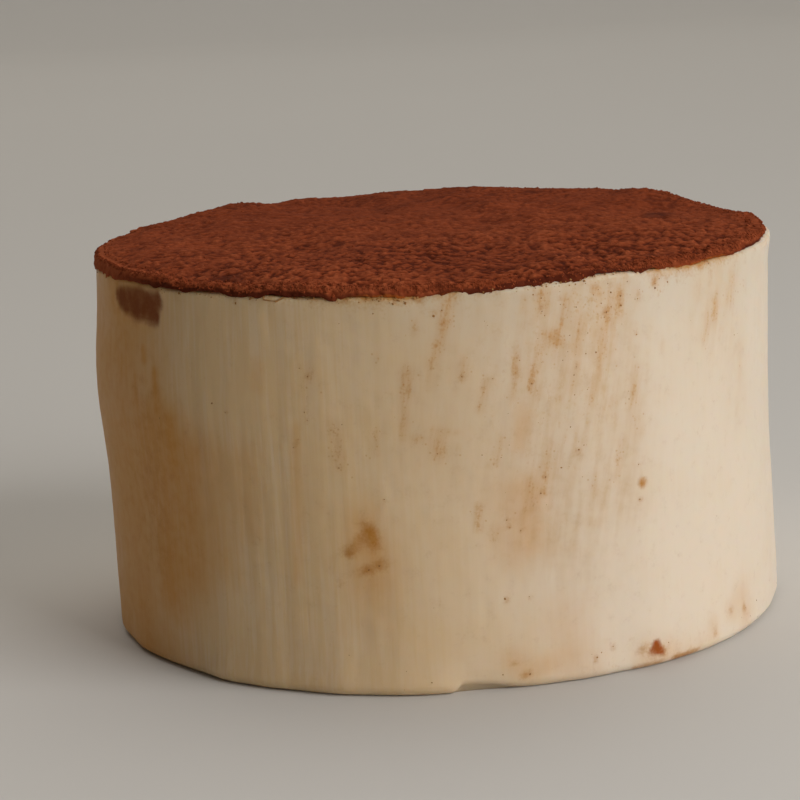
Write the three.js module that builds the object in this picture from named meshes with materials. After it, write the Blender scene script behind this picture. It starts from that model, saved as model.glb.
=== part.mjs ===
// A round single-serving tiramisu, turned out of a ring: an upright cylinder of mascarpone cream
// under a layer of sifted cocoa. Millimetres, +Z up, the origin at the middle of the base, -Y the front.
import * as THREE from "three";
import { mergeVertices } from "three/addons/utils/BufferGeometryUtils.js";

// Driving dimensions
const CREAM_RADIUS = 39.95; // mean radius, from an 80 mm dessert ring
const CREAM_HEIGHT = 43.6; // base to the cream's rim
const BASE_ROUND = 1.1; // rounding where the side meets the base
const RIM_ROUND = 0.6; // rounding where the side meets the top
const COCOA_DEPTH = 2.0; // mean depth of the cocoa away from its edge
const COCOA_EDGE_DEPTH = 1.3; // depth of the cocoa at its edge
const COCOA_SHOULDER = 5.0; // how far in from its edge the cocoa reaches its full depth
const COCOA_EDGE_BULGE = 0.1; // how far its edge swells out below its top corner
const COCOA_EDGE_ROUND = 0.25; // how far its top corner is set back
const COCOA_INSET = 0.1; // how far the cocoa stops short of the cream's side
const COCOA_BARE_LIP = 0.6; // at the right it stops this much further in, and a lip of cream shows
const SEAT_GAP = 0.05; // between the cream's flat top and the cocoa's flat underside

// Unevenness of the cream
const OUT_OF_ROUND = 0.16; // slow swell of the outline round the axis
const OUT_OF_ROUND_WAVES = { low: 2, high: 6, seed: 1.7 };
const FLUTE_DEPTH = 0.05; // upright drag marks that the ring left on the side
const FLUTE_WAVES = { low: 14, high: 36, seed: 0.9 };
const SIDE_FADE = 1.5; // power by which the left and right forms fade towards front and back
const BELLY_RISE = 0.8; // the left side swells by this much at BELLY_SHARE of the height
const BELLY_SHARE = 0.69;
const BELLY_SPREAD = 0.18; // share of the height
const LEFT_TAPER = 0.4; // the left side draws in by this much away from its belly
const RIGHT_WAIST = 0.15; // the right side is this much hollow at mid-height
const FOOT_SPREAD = 0.8; // the cream's foot runs out by this much at the front left
const FOOT_HEIGHT = 2.5;
const FOOT_FROM = -132; // degrees round the axis, from +X
const FOOT_TO = -89.5;
const FOOT_SOFTNESS = 5;
const NOTCH_LIFT = 0.7; // beside the foot the lower edge lifts clear of the plate
const NOTCH_FROM = -88.5;
const NOTCH_TO = -80;
const NOTCH_SOFTNESS = 5;
const NOTCH_HEIGHT = 4.0;

// Unevenness of the cocoa
const COCOA_TILT = 0.65; // the cocoa is deeper by this much at the back left, shallower opposite
const COCOA_TILT_ANGLE = 150;
const DIP = { depth: 0.8, spread: 9, radius: 36, angle: 22 }; // it dips by its edge at the back right
const SWELL = { size: 26, rise: 0.17, seed: 3.1 }; // wave length and rise of its broad swells
const LUMP = { size: 8.5, rise: 0.11, seed: 5.3 }; // and of its lumps
const LIP_FADE = 3; // power by which the bare lip fades away from the right

// Facets
const SEGMENTS = 144; // round the axis
const SIDE_ROWS = 15;
const ROUND_ROWS = 4;
const RIM_ROWS = 2;
const COCOA_ROWS = 12;
const SHOULDER_ROWS = 4;
const INNER_RING = 0.55; // share of the radius of the one ring that splits a flat face

const GOLDEN_ANGLE = Math.PI * (3 - Math.sqrt(5));
const WAVES = 9; // in each sum of lumps
const WAVE_SPREAD = 0.4; // share by which their lengths differ

const degrees = THREE.MathUtils.degToRad;
const smoothstep = THREE.MathUtils.smoothstep;

// A closed ripple round the axis, of all harmonics from low to high, with a mean square of one.
function ripple(angle, { low, high, seed }) {
  let sum = 0;
  for (let k = low; k <= high; k++) {
    sum += Math.cos(k * angle + seed * k * k);
  }
  return sum / Math.sqrt((high - low + 1) / 2);
}

// Soft lumps on a plane: waves of about one length in directions a golden angle apart.
function lumps(x, y, { size, rise, seed }) {
  let sum = 0;
  for (let i = 0; i < WAVES; i++) {
    const turn = (i + seed) * GOLDEN_ANGLE;
    const wave = (2 * Math.PI * (1 + WAVE_SPREAD * (i / WAVES - 0.5))) / size;
    sum += Math.cos((x * Math.cos(turn) + y * Math.sin(turn)) * wave + seed * i * i);
  }
  return (rise * sum) / Math.sqrt(WAVES / 2);
}

// 1 between two angles in degrees, falling to 0 over the given softness on either side.
function span(angle, from, to, softness) {
  const middle = degrees((from + to) / 2);
  const half = degrees(to - from) / 2;
  const away = Math.abs(Math.atan2(Math.sin(angle - middle), Math.cos(angle - middle)));
  return 1 - smoothstep(away, half - degrees(softness) / 2, half + degrees(softness) / 2);
}

// How far the cream's side stands out from its mean radius at an angle and a height.
function sideOffset(angle, z) {
  const share = z / CREAM_HEIGHT;
  const left = Math.max(0, -Math.cos(angle)) ** SIDE_FADE;
  const right = Math.max(0, Math.cos(angle)) ** SIDE_FADE;
  const belly = BELLY_RISE * Math.exp(-(((share - BELLY_SHARE) / BELLY_SPREAD) ** 2)) - LEFT_TAPER;
  const waist = RIGHT_WAIST * Math.cos(2 * Math.PI * share);
  const foot = FOOT_SPREAD * span(angle, FOOT_FROM, FOOT_TO, FOOT_SOFTNESS) * Math.exp(-z / FOOT_HEIGHT);
  return (
    OUT_OF_ROUND * ripple(angle, OUT_OF_ROUND_WAVES) +
    FLUTE_DEPTH * ripple(angle, FLUTE_WAVES) +
    left * belly +
    right * waist +
    foot
  );
}

// How far the cream's lower edge stands clear of the plate at an angle.
function edgeLift(angle) {
  return NOTCH_LIFT * span(angle, NOTCH_FROM, NOTCH_TO, NOTCH_SOFTNESS);
}

// The cocoa's depth over the cream at a point of the top, before its edge falls away.
function cocoaDepth(x, y) {
  const tilt = degrees(COCOA_TILT_ANGLE);
  const dip = polar(degrees(DIP.angle), DIP.radius, 0);
  const fromDip = Math.hypot(x - dip.x, y - dip.y) / DIP.spread;
  return (
    COCOA_DEPTH +
    (COCOA_TILT * (x * Math.cos(tilt) + y * Math.sin(tilt))) / CREAM_RADIUS -
    DIP.depth * Math.exp(-(fromDip ** 2)) +
    lumps(x, y, SWELL) +
    lumps(x, y, LUMP)
  );
}

// The cream's section, from the middle of the base out and up to the middle of the top.
function creamProfile() {
  const points = [new THREE.Vector2(0, 0), new THREE.Vector2(CREAM_RADIUS * INNER_RING, 0)];
  for (let i = 0; i <= ROUND_ROWS; i++) {
    const turn = ((i / ROUND_ROWS) * Math.PI) / 2;
    points.push(
      new THREE.Vector2(
        CREAM_RADIUS - BASE_ROUND * (1 - Math.sin(turn)),
        BASE_ROUND * (1 - Math.cos(turn)),
      ),
    );
  }
  const sideTop = CREAM_HEIGHT - RIM_ROUND;
  for (let i = 1; i < SIDE_ROWS; i++) {
    const z = BASE_ROUND + ((sideTop - BASE_ROUND) * i) / SIDE_ROWS;
    points.push(new THREE.Vector2(CREAM_RADIUS, z));
  }
  for (let i = 0; i <= RIM_ROWS; i++) {
    const turn = ((i / RIM_ROWS) * Math.PI) / 2;
    points.push(
      new THREE.Vector2(
        CREAM_RADIUS - RIM_ROUND * (1 - Math.cos(turn)),
        sideTop + RIM_ROUND * Math.sin(turn),
      ),
    );
  }
  points.push(new THREE.Vector2(CREAM_RADIUS * INNER_RING, CREAM_HEIGHT));
  points.push(new THREE.Vector2(0, CREAM_HEIGHT));
  return points;
}

// The cocoa's section as shares of its depth, from the middle of its underside out and up to its middle.
function cocoaProfile() {
  const edge = CREAM_RADIUS - COCOA_INSET;
  const points = [
    new THREE.Vector2(0, 0),
    new THREE.Vector2(edge * INNER_RING, 0),
    new THREE.Vector2(edge, 0),
    new THREE.Vector2(edge + COCOA_EDGE_BULGE, 0.5),
  ];
  for (let i = 0; i <= SHOULDER_ROWS; i++) {
    const inward = COCOA_SHOULDER * (i / SHOULDER_ROWS) ** 2;
    points.push(new THREE.Vector2(edge - COCOA_EDGE_ROUND - inward, 1));
  }
  const shoulder = points[points.length - 1].x;
  for (let i = 1; i <= COCOA_ROWS; i++) {
    points.push(new THREE.Vector2(shoulder * (1 - i / COCOA_ROWS), 1));
  }
  return points;
}

// A turned profile with every point then moved by a function of its angle, radius and height.
function turned(profile, move) {
  const lathe = new THREE.LatheGeometry(profile, SEGMENTS);
  lathe.rotateX(Math.PI / 2);
  lathe.deleteAttribute("normal");
  lathe.deleteAttribute("uv");
  const place = lathe.getAttribute("position");
  for (let i = 0; i < place.count; i++) {
    const x = place.getX(i);
    const y = place.getY(i);
    const moved = move(Math.atan2(y, x), Math.hypot(x, y), place.getZ(i));
    place.setXYZ(i, moved.x, moved.y, moved.z);
  }
  return closed(mergeVertices(lathe, 1e-3));
}

// The geometry without the triangles that shrank to nothing on the axis.
function closed(geometry) {
  const corners = geometry.index.array;
  const kept = [];
  for (let i = 0; i < corners.length; i += 3) {
    const [a, b, c] = corners.slice(i, i + 3);
    if (a !== b && b !== c && c !== a) {
      kept.push(a, b, c);
    }
  }
  geometry.setIndex(kept);
  geometry.computeVertexNormals();
  return geometry;
}

function polar(angle, radius, z) {
  return new THREE.Vector3(radius * Math.cos(angle), radius * Math.sin(angle), z);
}

function creamGeometry() {
  return turned(creamProfile(), (angle, radius, z) => {
    const share = radius / CREAM_RADIUS;
    const nearBase = z < 0.001 ? 0 : Math.max(0, 1 - z / NOTCH_HEIGHT);
    return polar(angle, radius + share * sideOffset(angle, z), z + nearBase * edgeLift(angle));
  });
}

function cocoaGeometry() {
  const seat = CREAM_HEIGHT + SEAT_GAP;
  return turned(cocoaProfile(), (angle, radius, share) => {
    const lip = COCOA_BARE_LIP * Math.max(0, Math.cos(angle)) ** LIP_FADE;
    const out = radius + (radius / CREAM_RADIUS) * (sideOffset(angle, CREAM_HEIGHT) - lip);
    const inward = CREAM_RADIUS - COCOA_INSET - radius;
    const full = smoothstep(inward, -COCOA_SHOULDER / 3, COCOA_SHOULDER);
    const middle = cocoaDepth(out * Math.cos(angle), out * Math.sin(angle));
    const depth = THREE.MathUtils.lerp(COCOA_EDGE_DEPTH * (middle / COCOA_DEPTH), middle, full);
    return polar(angle, out, seat + share * depth);
  });
}

// The two pieces as they stand, moved so that the outline's box is centred on the origin.
function tiramisu() {
  const cream = new THREE.Mesh(
    creamGeometry(),
    new THREE.MeshStandardMaterial({ color: 0xe3d0b2, roughness: 0.5, metalness: 0 }),
  );
  cream.name = "cream";
  const cocoa = new THREE.Mesh(
    cocoaGeometry(),
    new THREE.MeshStandardMaterial({ color: 0x6e331f, roughness: 0.95, metalness: 0 }),
  );
  cocoa.name = "cocoa";
  const group = new THREE.Group();
  group.add(cream, cocoa);
  const centre = new THREE.Box3().setFromObject(group).getCenter(new THREE.Vector3());
  for (const piece of group.children) {
    piece.position.set(-centre.x, -centre.y, 0);
  }
  return group;
}

export default tiramisu();
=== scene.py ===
"""Round tiramisu: dresses the plain solids of a ring-moulded tiramisu with cream, cocoa and crumbs."""

import math
from typing import NamedTuple

import bpy
import numpy as np
from bpy.props import FloatProperty, FloatVectorProperty, IntProperty, PointerProperty
from bpy.types import NodeSocket, Operator, Panel, PropertyGroup
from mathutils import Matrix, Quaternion, Vector
from mathutils.bvhtree import BVHTree


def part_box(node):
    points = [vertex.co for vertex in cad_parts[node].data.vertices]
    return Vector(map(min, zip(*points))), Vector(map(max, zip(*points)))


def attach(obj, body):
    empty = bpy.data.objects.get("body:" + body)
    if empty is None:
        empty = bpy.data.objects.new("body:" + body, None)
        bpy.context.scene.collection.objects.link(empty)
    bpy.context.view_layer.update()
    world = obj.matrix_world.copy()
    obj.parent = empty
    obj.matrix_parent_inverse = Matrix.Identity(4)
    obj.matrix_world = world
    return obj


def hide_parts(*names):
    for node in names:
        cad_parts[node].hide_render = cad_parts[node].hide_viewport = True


bl_info = {
    "name": "Round tiramisu",
    "version": (1, 0, 0),
    "blender": (4, 5, 0),
    "location": "View3D > Sidebar > Tiramisu",
    "description": "Dresses the solids of a ring-moulded tiramisu with cream, cocoa and crumbs",
    "category": "Object",
}

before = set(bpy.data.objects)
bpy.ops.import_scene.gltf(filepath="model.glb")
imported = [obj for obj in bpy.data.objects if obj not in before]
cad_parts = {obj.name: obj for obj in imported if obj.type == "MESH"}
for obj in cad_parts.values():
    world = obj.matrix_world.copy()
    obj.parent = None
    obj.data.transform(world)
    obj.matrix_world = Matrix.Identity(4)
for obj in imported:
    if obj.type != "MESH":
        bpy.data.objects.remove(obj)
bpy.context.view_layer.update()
BODY = "root"
BAKE_MAP = "OFBake"

MM = 0.001
CREAM_LOW, CREAM_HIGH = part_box("cream")
RADIUS = (CREAM_HIGH.x - CREAM_LOW.x) / 2
RIM = CREAM_HIGH.z
FRONT = -math.pi / 2  # the angle round the axis of the side that faces the camera
FELT_COLUMNS = 288  # places round a solid where its radius is felt
FELT_LEVELS = 40  # heights on the cream where its radius is felt
FORM_WAVES = 14  # waves round the cream that make its form, the finer ones being its flutes
ALL_WAVES = 72  # waves round a solid that are kept in all
EDGE_STEPS = 1440  # places round the cocoa's edge
SEEDS = {
    "cream": 11, "cocoa": 23, "grains": 37, "rim crumbs": 41, "specks": 53, "base crumbs": 61,
    "strands": 67,
}


class Stroke(NamedTuple):
    """A stroke on the cream's side: turns in degrees from the front, right positive, and millimetres."""

    turn: float
    height: float
    end_turn: float
    end_height: float
    half_width: float
    strength: float


def strokes(*rows):
    """Strokes from rows of their ends, half width and strength."""
    return tuple(Stroke(*row) for row in rows)


# Coffee that the ring dragged up the cream: thin smears that lean a little to the right
SMEARS = strokes(
    (2.4, 42.4, 1.9, 40.6, 0.55, 0.85), (1.9, 40.6, 1.3, 38.4, 0.40, 0.60),
    (1.2, 38.2, -0.2, 36.4, 0.50, 0.65), (-0.1, 35.0, -0.6, 33.8, 0.40, 0.55),
    (-2.5, 40.8, -2.6, 39.6, 0.40, 0.50), (-4.0, 35.6, -4.2, 33.8, 0.55, 0.85),
    (-4.3, 33.4, -5.1, 29.2, 0.38, 0.75), (-5.2, 28.4, -2.6, 28.3, 0.35, 0.60),
    (-0.8, 29.3, 2.8, 28.8, 0.30, 0.50), (-0.2, 28.0, 0.0, 26.6, 0.65, 0.75),
    (2.9, 27.2, 2.9, 27.0, 0.35, 0.45), (5.0, 36.6, 4.3, 34.7, 0.40, 0.60),
    (7.9, 34.3, 6.6, 31.2, 0.40, 0.60), (7.2, 41.6, 7.3, 41.3, 0.40, 0.30),
    (9.9, 27.6, 8.8, 25.2, 0.35, 0.55), (8.9, 25.1, 7.6, 25.0, 0.30, 0.45),
    (12.9, 36.4, 12.6, 35.2, 0.38, 0.70), (12.5, 35.0, 11.8, 32.2, 0.38, 0.55),
    (14.3, 42.3, 14.1, 41.0, 0.35, 0.50), (15.5, 34.6, 15.0, 33.1, 0.42, 1.00),
    (16.0, 32.6, 16.0, 32.1, 0.40, 0.60), (16.6, 37.4, 16.0, 35.5, 0.42, 0.65),
    (17.2, 42.6, 17.0, 41.0, 0.50, 0.80), (17.2, 38.6, 19.0, 38.2, 0.42, 0.90),
    (19.0, 38.4, 19.4, 37.7, 0.50, 1.00), (17.5, 26.4, 16.6, 23.2, 0.38, 0.70),
    (19.0, 26.0, 18.5, 23.3, 0.40, 0.40), (18.9, 36.2, 18.7, 35.2, 0.40, 0.45),
    (20.5, 36.4, 20.4, 35.8, 0.40, 0.45), (20.8, 41.6, 20.1, 39.4, 0.42, 0.80),
    (22.2, 34.8, 21.1, 32.4, 0.40, 0.55), (23.0, 39.6, 22.6, 36.4, 0.45, 0.70),
    (24.4, 31.2, 24.3, 30.6, 0.35, 0.50), (25.9, 34.1, 24.9, 32.0, 0.45, 0.50),
    (26.0, 42.3, 26.9, 41.8, 0.38, 0.65), (27.3, 38.3, 26.7, 35.8, 0.70, 0.60),
    (28.8, 41.4, 28.0, 39.2, 0.45, 0.75), (30.5, 41.8, 30.3, 39.8, 0.40, 0.85),
    (31.5, 43.1, 31.9, 42.6, 0.35, 0.50), (33.6, 41.4, 33.5, 40.9, 0.35, 0.45),
    (32.5, 33.8, 32.1, 30.2, 0.42, 0.60), (32.0, 30.0, 32.6, 26.8, 0.75, 0.50),
    (36.9, 42.8, 36.6, 42.0, 0.45, 0.60), (39.2, 42.8, 39.0, 42.4, 0.38, 0.50),
    (37.7, 36.0, 37.5, 35.2, 0.40, 0.40), (13.9, 23.0, 13.8, 20.0, 0.45, 0.75),
    (15.9, 21.9, 15.9, 21.4, 0.38, 0.75), (6.0, 20.5, 5.7, 18.3, 0.40, 0.90),
    (8.3, 18.2, 8.2, 16.9, 0.40, 0.60), (12.8, 19.2, 12.7, 18.6, 0.38, 0.50),
    (29.3, 26.0, 28.5, 22.4, 0.38, 0.50), (24.8, 22.6, 24.7, 20.2, 0.40, 0.40),
    (46.2, 41.2, 46.0, 39.8, 0.55, 0.35), (50.4, 39.2, 50.1, 37.8, 0.60, 0.70),
    (48.3, 37.6, 47.3, 35.6, 0.60, 0.55), (56.6, 41.0, 55.5, 38.8, 0.80, 0.55),
    (58.4, 33.4, 58.8, 29.8, 0.50, 0.30), (61.0, 40.2, 61.0, 39.6, 0.50, 0.30),
    (-8.6, 37.4, -8.5, 37.2, 0.50, 0.40), (-9.3, 29.2, -10.0, 26.9, 0.50, 0.50),
    (-16.2, 30.1, -15.6, 26.8, 0.60, 0.55), (-15.4, 26.6, -15.3, 25.3, 0.45, 0.60),
    (-17.5, 15.2, -17.5, 13.9, 0.50, 0.45), (-19.4, 36.2, -19.8, 33.0, 0.60, 0.38),
)

# Wider fields where the cream blushes with coffee
BLUSHES = strokes(
    (14.0, 40.0, 12.0, 24.0, 6.0, 0.35), (1.0, 38.0, -4.0, 27.0, 3.5, 0.30),
    (20.0, 41.5, 18.5, 33.0, 3.5, 0.40), (20.0, 27.0, 18.0, 16.0, 3.5, 0.45),
    (27.0, 34.0, 26.0, 22.0, 4.5, 0.40), (31.5, 30.0, 30.0, 20.0, 2.5, 0.35),
    (25.0, 20.0, 24.0, 12.0, 3.5, 0.25), (28.0, 42.0, 27.0, 34.0, 3.2, 0.65),
    (52.0, 41.0, 51.0, 38.0, 4.0, 0.45), (58.0, 33.0, 58.0, 27.0, 2.5, 0.25),
)

# Smaller fields where coffee tints it more
TINTS = strokes(
    (13.3, 30.3, 12.7, 27.2, 1.0, 0.30), (14.2, 22.0, 14.2, 16.4, 1.6, 0.32),
    (-22.0, 29.5, -23.7, 12.8, 0.6, 0.30), (-12.0, 19.0, -11.6, 17.0, 2.0, 0.45),
    (-11.2, 15.6, -11.0, 13.2, 2.2, 0.42), (-11.0, 12.0, -10.8, 9.0, 2.4, 0.16),
    # At the left, away from the key light, these strong wide tints are partly painted warm shade
    (-54.5, 36.6, -54.3, 35.4, 0.9, 0.95), (-51.0, 34.4, -50.4, 30.5, 0.9, 0.95),
    (-57.4, 33.5, -57.0, 30.5, 0.9, 0.90), (-47.6, 29.0, -48.4, 24.0, 1.2, 1.00),
    (-56.5, 28.6, -57.0, 20.0, 3.0, 1.00), (-51.0, 27.0, -52.0, 9.0, 4.5, 1.00),
    (-43.5, 25.5, -45.0, 12.0, 2.6, 0.75), (-37.0, 25.0, -38.0, 14.0, 2.6, 0.40),
    (-31.0, 26.0, -31.5, 18.0, 1.6, 0.25), (11.0, 21.0, 11.0, 15.5, 2.2, 0.28),
    (-28.5, 36.5, -28.5, 34.0, 0.7, 0.25), (10.2, 3.4, 10.4, 3.0, 1.2, 0.30),
    (12.2, 1.7, 15.7, 2.5, 0.9, 0.26), (15.7, 2.5, 20.0, 3.0, 1.1, 0.14), (33.0, 2.4, 37.0, 1.9, 1.4, 0.18),
    (32.0, 0.7, 36.0, 0.6, 0.9, 0.22), (38.0, 0.9, 44.0, 0.9, 1.2, 0.20), (47.6, 2.9, 47.8, 1.4, 1.0, 0.20),
    (53.4, 3.8, 53.4, 3.2, 0.9, 0.20), (19.0, 7.0, 22.0, 1.5, 3.0, 0.22), (57.0, 4.5, 58.0, 2.5, 1.8, 0.30),
)

# Coffee that soaked through: blots with a deep middle
BLOTS = strokes(
    (-11.3, 18.3, -10.8, 17.4, 0.95, 0.85), (-12.4, 17.6, -14.0, 16.6, 0.80, 0.62),
    (-14.8, 16.0, -14.6, 15.8, 0.50, 0.45), (-12.3, 19.3, -12.2, 19.2, 0.40, 0.40),
    (-12.4, 13.8, -9.6, 14.8, 0.80, 0.42), (-11.5, 14.2, -11.5, 14.1, 0.45, 0.60),
    (-10.1, 14.7, -10.1, 14.6, 0.45, 0.75), (-16.0, 12.5, -16.0, 12.4, 0.35, 0.35),
    (33.4, 21.1, 33.3, 21.0, 0.50, 1.00), (33.4, 2.1, 36.0, 1.8, 0.80, 0.55),
    (38.4, 0.55, 43.6, 0.5, 0.42, 0.75), (31.0, 0.35, 35.8, 0.4, 0.30, 0.60),
    (23.8, 2.3, 23.8, 2.2, 0.35, 0.65), (12.7, 1.7, 11.9, 1.5, 0.45, 0.65),
    (10.7, 3.0, 10.6, 3.0, 0.45, 0.45), (53.4, 3.6, 53.4, 3.5, 0.50, 0.50),
    (57.6, 3.1, 57.6, 3.0, 0.55, 0.60), (48.0, 2.2, 48.0, 1.8, 0.50, 0.50),
    (32.1, 2.4, 31.9, 2.4, 0.45, 0.45), (27.0, 3.2, 26.8, 3.2, 0.40, 0.40),
    # The last, wide blot is partly painted shade that deepens the lower left
    (30.2, 3.7, 30.1, 3.7, 0.35, 0.40), (-53.0, 30.0, -55.0, 14.0, 3.6, 0.30),
)

# Soaked sponge at the surface: the brown patch under the rim at the left
PATCHES = strokes(
    (-62.4, 42.3, -50.2, 42.6, 0.75, 0.80), (-64.2, 41.5, -49.4, 41.8, 0.85, 0.85),
    (-62.6, 40.9, -56.0, 40.8, 0.65, 0.75), (-56.8, 40.9, -50.8, 40.3, 0.85, 0.90),
    (-63.6, 42.0, -61.0, 41.2, 0.80, 0.50), (-53.0, 42.0, -51.5, 40.6, 0.80, 0.60),
)

# A soaked crumb, pressed flat into the side by the base, and the stain beside it
CRUMB_STAINS = strokes(
    (34.8, 2.6, 33.8, 2.0, 0.38, 0.75), (34.8, 2.7, 35.0, 2.1, 0.45, 0.90),
    (35.0, 2.3, 35.9, 1.6, 0.40, 0.80), (34.2, 1.9, 35.4, 1.75, 0.35, 0.45),
    (39.0, 0.3, 42.5, 0.25, 0.25, 0.45),
)

# Single dark dots: turn, height and radius
DOTS = (
    (0.5, 41.6, 0.16), (1.8, 41.9, 0.12), (8.8, 34.4, 0.08), (4.3, 34.7, 0.10), (15.1, 33.6, 0.12),
    (7.2, 33.4, 0.07), (17.2, 42.5, 0.10), (17.0, 41.2, 0.10), (22.4, 35.0, 0.08), (22.0, 34.1, 0.08),
    (27.7, 40.2, 0.13), (28.7, 42.3, 0.12), (28.8, 41.0, 0.08), (30.5, 41.6, 0.14), (30.4, 40.6, 0.16),
    (36.7, 42.7, 0.12), (36.7, 42.1, 0.12), (39.3, 42.6, 0.12), (37.8, 43.2, 0.10), (32.9, 37.6, 0.08),
    (22.2, 25.6, 0.14), (32.7, 23.2, 0.09), (32.7, 19.2, 0.10), (16.6, 23.3, 0.09), (15.9, 21.6, 0.10),
    (10.6, 18.0, 0.09), (10.2, 18.8, 0.08), (12.3, 17.5, 0.07), (9.6, 10.1, 0.13), (13.4, 10.1, 0.06),
    (28.1, 43.2, 0.07), (26.4, 42.6, 0.08), (25.5, 42.4, 0.07), (27.0, 41.5, 0.08), (31.7, 43.2, 0.09),
    (33.6, 41.2, 0.08), (27.3, 40.0, 0.07), (16.0, 43.1, 0.07), (20.0, 41.8, 0.06), (26.2, 42.0, 0.06),
    (-31.9, 42.9, 0.16), (-34.5, 31.0, 0.08), (-19.8, 35.3, 0.10), (-20.8, 36.3, 0.06), (-20.4, 31.5, 0.08),
    (-20.2, 30.4, 0.08), (-21.9, 28.2, 0.07), (-22.6, 27.7, 0.07), (-15.3, 25.4, 0.10), (0.1, 26.8, 0.12),
    (-10.0, 14.7, 0.13), (-11.7, 14.2, 0.10), (-8.5, 21.7, 0.08), (23.8, 2.3, 0.13), (12.7, 1.7, 0.14),
    (27.0, 3.2, 0.07),
)

# Soaked crumbs by the base on the hidden sides: turn, height and radius
BASE_CRUMBS = (
    (121.0, 1.8, 0.5), (168.0, 1.2, 0.2), (-140.0, 2.2, 0.4), (-97.0, 1.4, 0.2),
)

# Curled strands of damp cocoa by the rim: the turns and heights that each runs through
STRANDS = (
    ((-24.4, 43.25), (-23.5, 43.55), (-22.6, 43.85), (-21.8, 43.70), (-21.1, 43.60)),
    ((-26.2, 44.10), (-26.6, 43.80), (-26.4, 43.45), (-25.4, 43.35), (-24.2, 43.30)),
    ((-29.1, 43.40), (-28.6, 43.60), (-27.9, 43.55)),
    ((-19.8, 43.95), (-19.5, 43.75), (-19.0, 43.65)),
)

# Places on the cocoa's top that drew damp: millimetres from the axis, and how wet
DAMP_SPOTS = (
    (27.9, 8.1, 0.6), (-21.6, -30.4, 0.7), (12.5, -19.4, 0.3), (-2.1, -13.9, 0.3), (-14.0, 17.0, 0.3),
    (6.0, 28.0, 0.3),
)


# How far the cocoa's lower edge rises or hangs round the rim: millimetres, degrees from the front, spread
HEM_RISE = 0.23
HEM_SWELLS = (
    (0.25, -62.0, 12.0), (-0.15, -46.0, 4.0), (0.12, -34.0, 5.0), (-0.22, -13.0, 9.0), (-0.30, -3.5, 3.5),
    (0.10, 4.0, 2.5), (0.52, 29.0, 8.0), (0.12, 40.0, 5.0), (-0.20, 68.0, 9.0),
)

# Where the cocoa's top swells towards its edge, and where it sinks, in the same way
TOP_SWELLS = ((0.45, 160.0, 20.0), (0.75, 129.0, 10.0), (0.25, -134.0, 7.0), (-0.25, -104.0, 12.0))
TOP_SINKS = ((0.45, -50.0, 26.0), (0.35, 0.0, 24.0))

# Where stray flecks lie on the cream: how thick, then degrees and spread, then millimetres up and spread
FLECK_SPARSE = 0.015
FLECK_ZONES = (
    (0.6, 19.0, 12.0, 33.0, 11.0), (1.0, 27.0, 5.0, 41.0, 2.2), (0.4, 14.0, 4.0, 20.0, 5.0),
    (1.0, 38.0, 3.0, 41.8, 1.1), (0.35, 53.0, 9.0, 38.0, 4.0), (0.4, 35.0, 35.0, 1.5, 2.0),
    (0.3, -12.0, 5.0, 15.0, 4.0),
)

# Where the cream's rim waves under the cocoa: how much, how often round and from where
RIM_WAVES = ((1.0, 5, 1.3), (0.8, 11, 4.1), (0.6, 23, 0.4))

# The cream's bake map: strips for the side, and two small discs for the base and the top
STRIPS = 3
STRIP_STEP = 0.292
STRIP_TALL = 0.284
MAP_MARGIN = 0.005
DISC_REACH = 0.0545
BASE_DISC = (0.07, 0.94)
TOP_DISC = (0.21, 0.94)

# Lamps: place in metres, size, power and tint
LAMPS = {
    "key": ((0.49, -0.385, 0.29), 0.5, 3.68, (1.0, 0.975, 0.95)),
    "fill": ((-0.50, -0.60, 0.35), 0.60, 0.2, (1.0, 0.78, 0.52)),
    "ceiling": ((0.0, 1.0, 1.5), 2.6, 24.0, (1.0, 0.93, 0.83)),
}
SKY = (0.95, 0.96, 1.0, 1.0)
SKY_STRENGTH = 0.05

# The point that the camera stands off from and the point that it is aimed at, and where the floor sweeps up
CAMERA_PIVOT = Vector((0.0, 0.0, 0.0218))
CAMERA_AIM = Vector((-0.0042, 0.0, 0.02492))
CAMERA_SENSOR = 36.0
FLOOR_BACK = 1.2
FLOOR_BEND = 0.35


# Settings


def length(name, description, default):
    """A property for a length in metres."""
    return FloatProperty(
        name=name, description=description, default=default, min=0.0, precision=6,
        unit="LENGTH", subtype="DISTANCE",
    )


def colour(name, description, default):
    """A property for a colour."""
    return FloatVectorProperty(
        name=name, description=description, default=default, min=0.0, max=1.0, size=3, subtype="COLOR",
    )


def angle(name, description, default):
    """A property for an angle in radians."""
    return FloatProperty(name=name, description=description, default=default, subtype="ANGLE")


def count(name, description, default):
    """A property for a number of pieces or steps."""
    return IntProperty(name=name, description=description, default=default, min=1)


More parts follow.
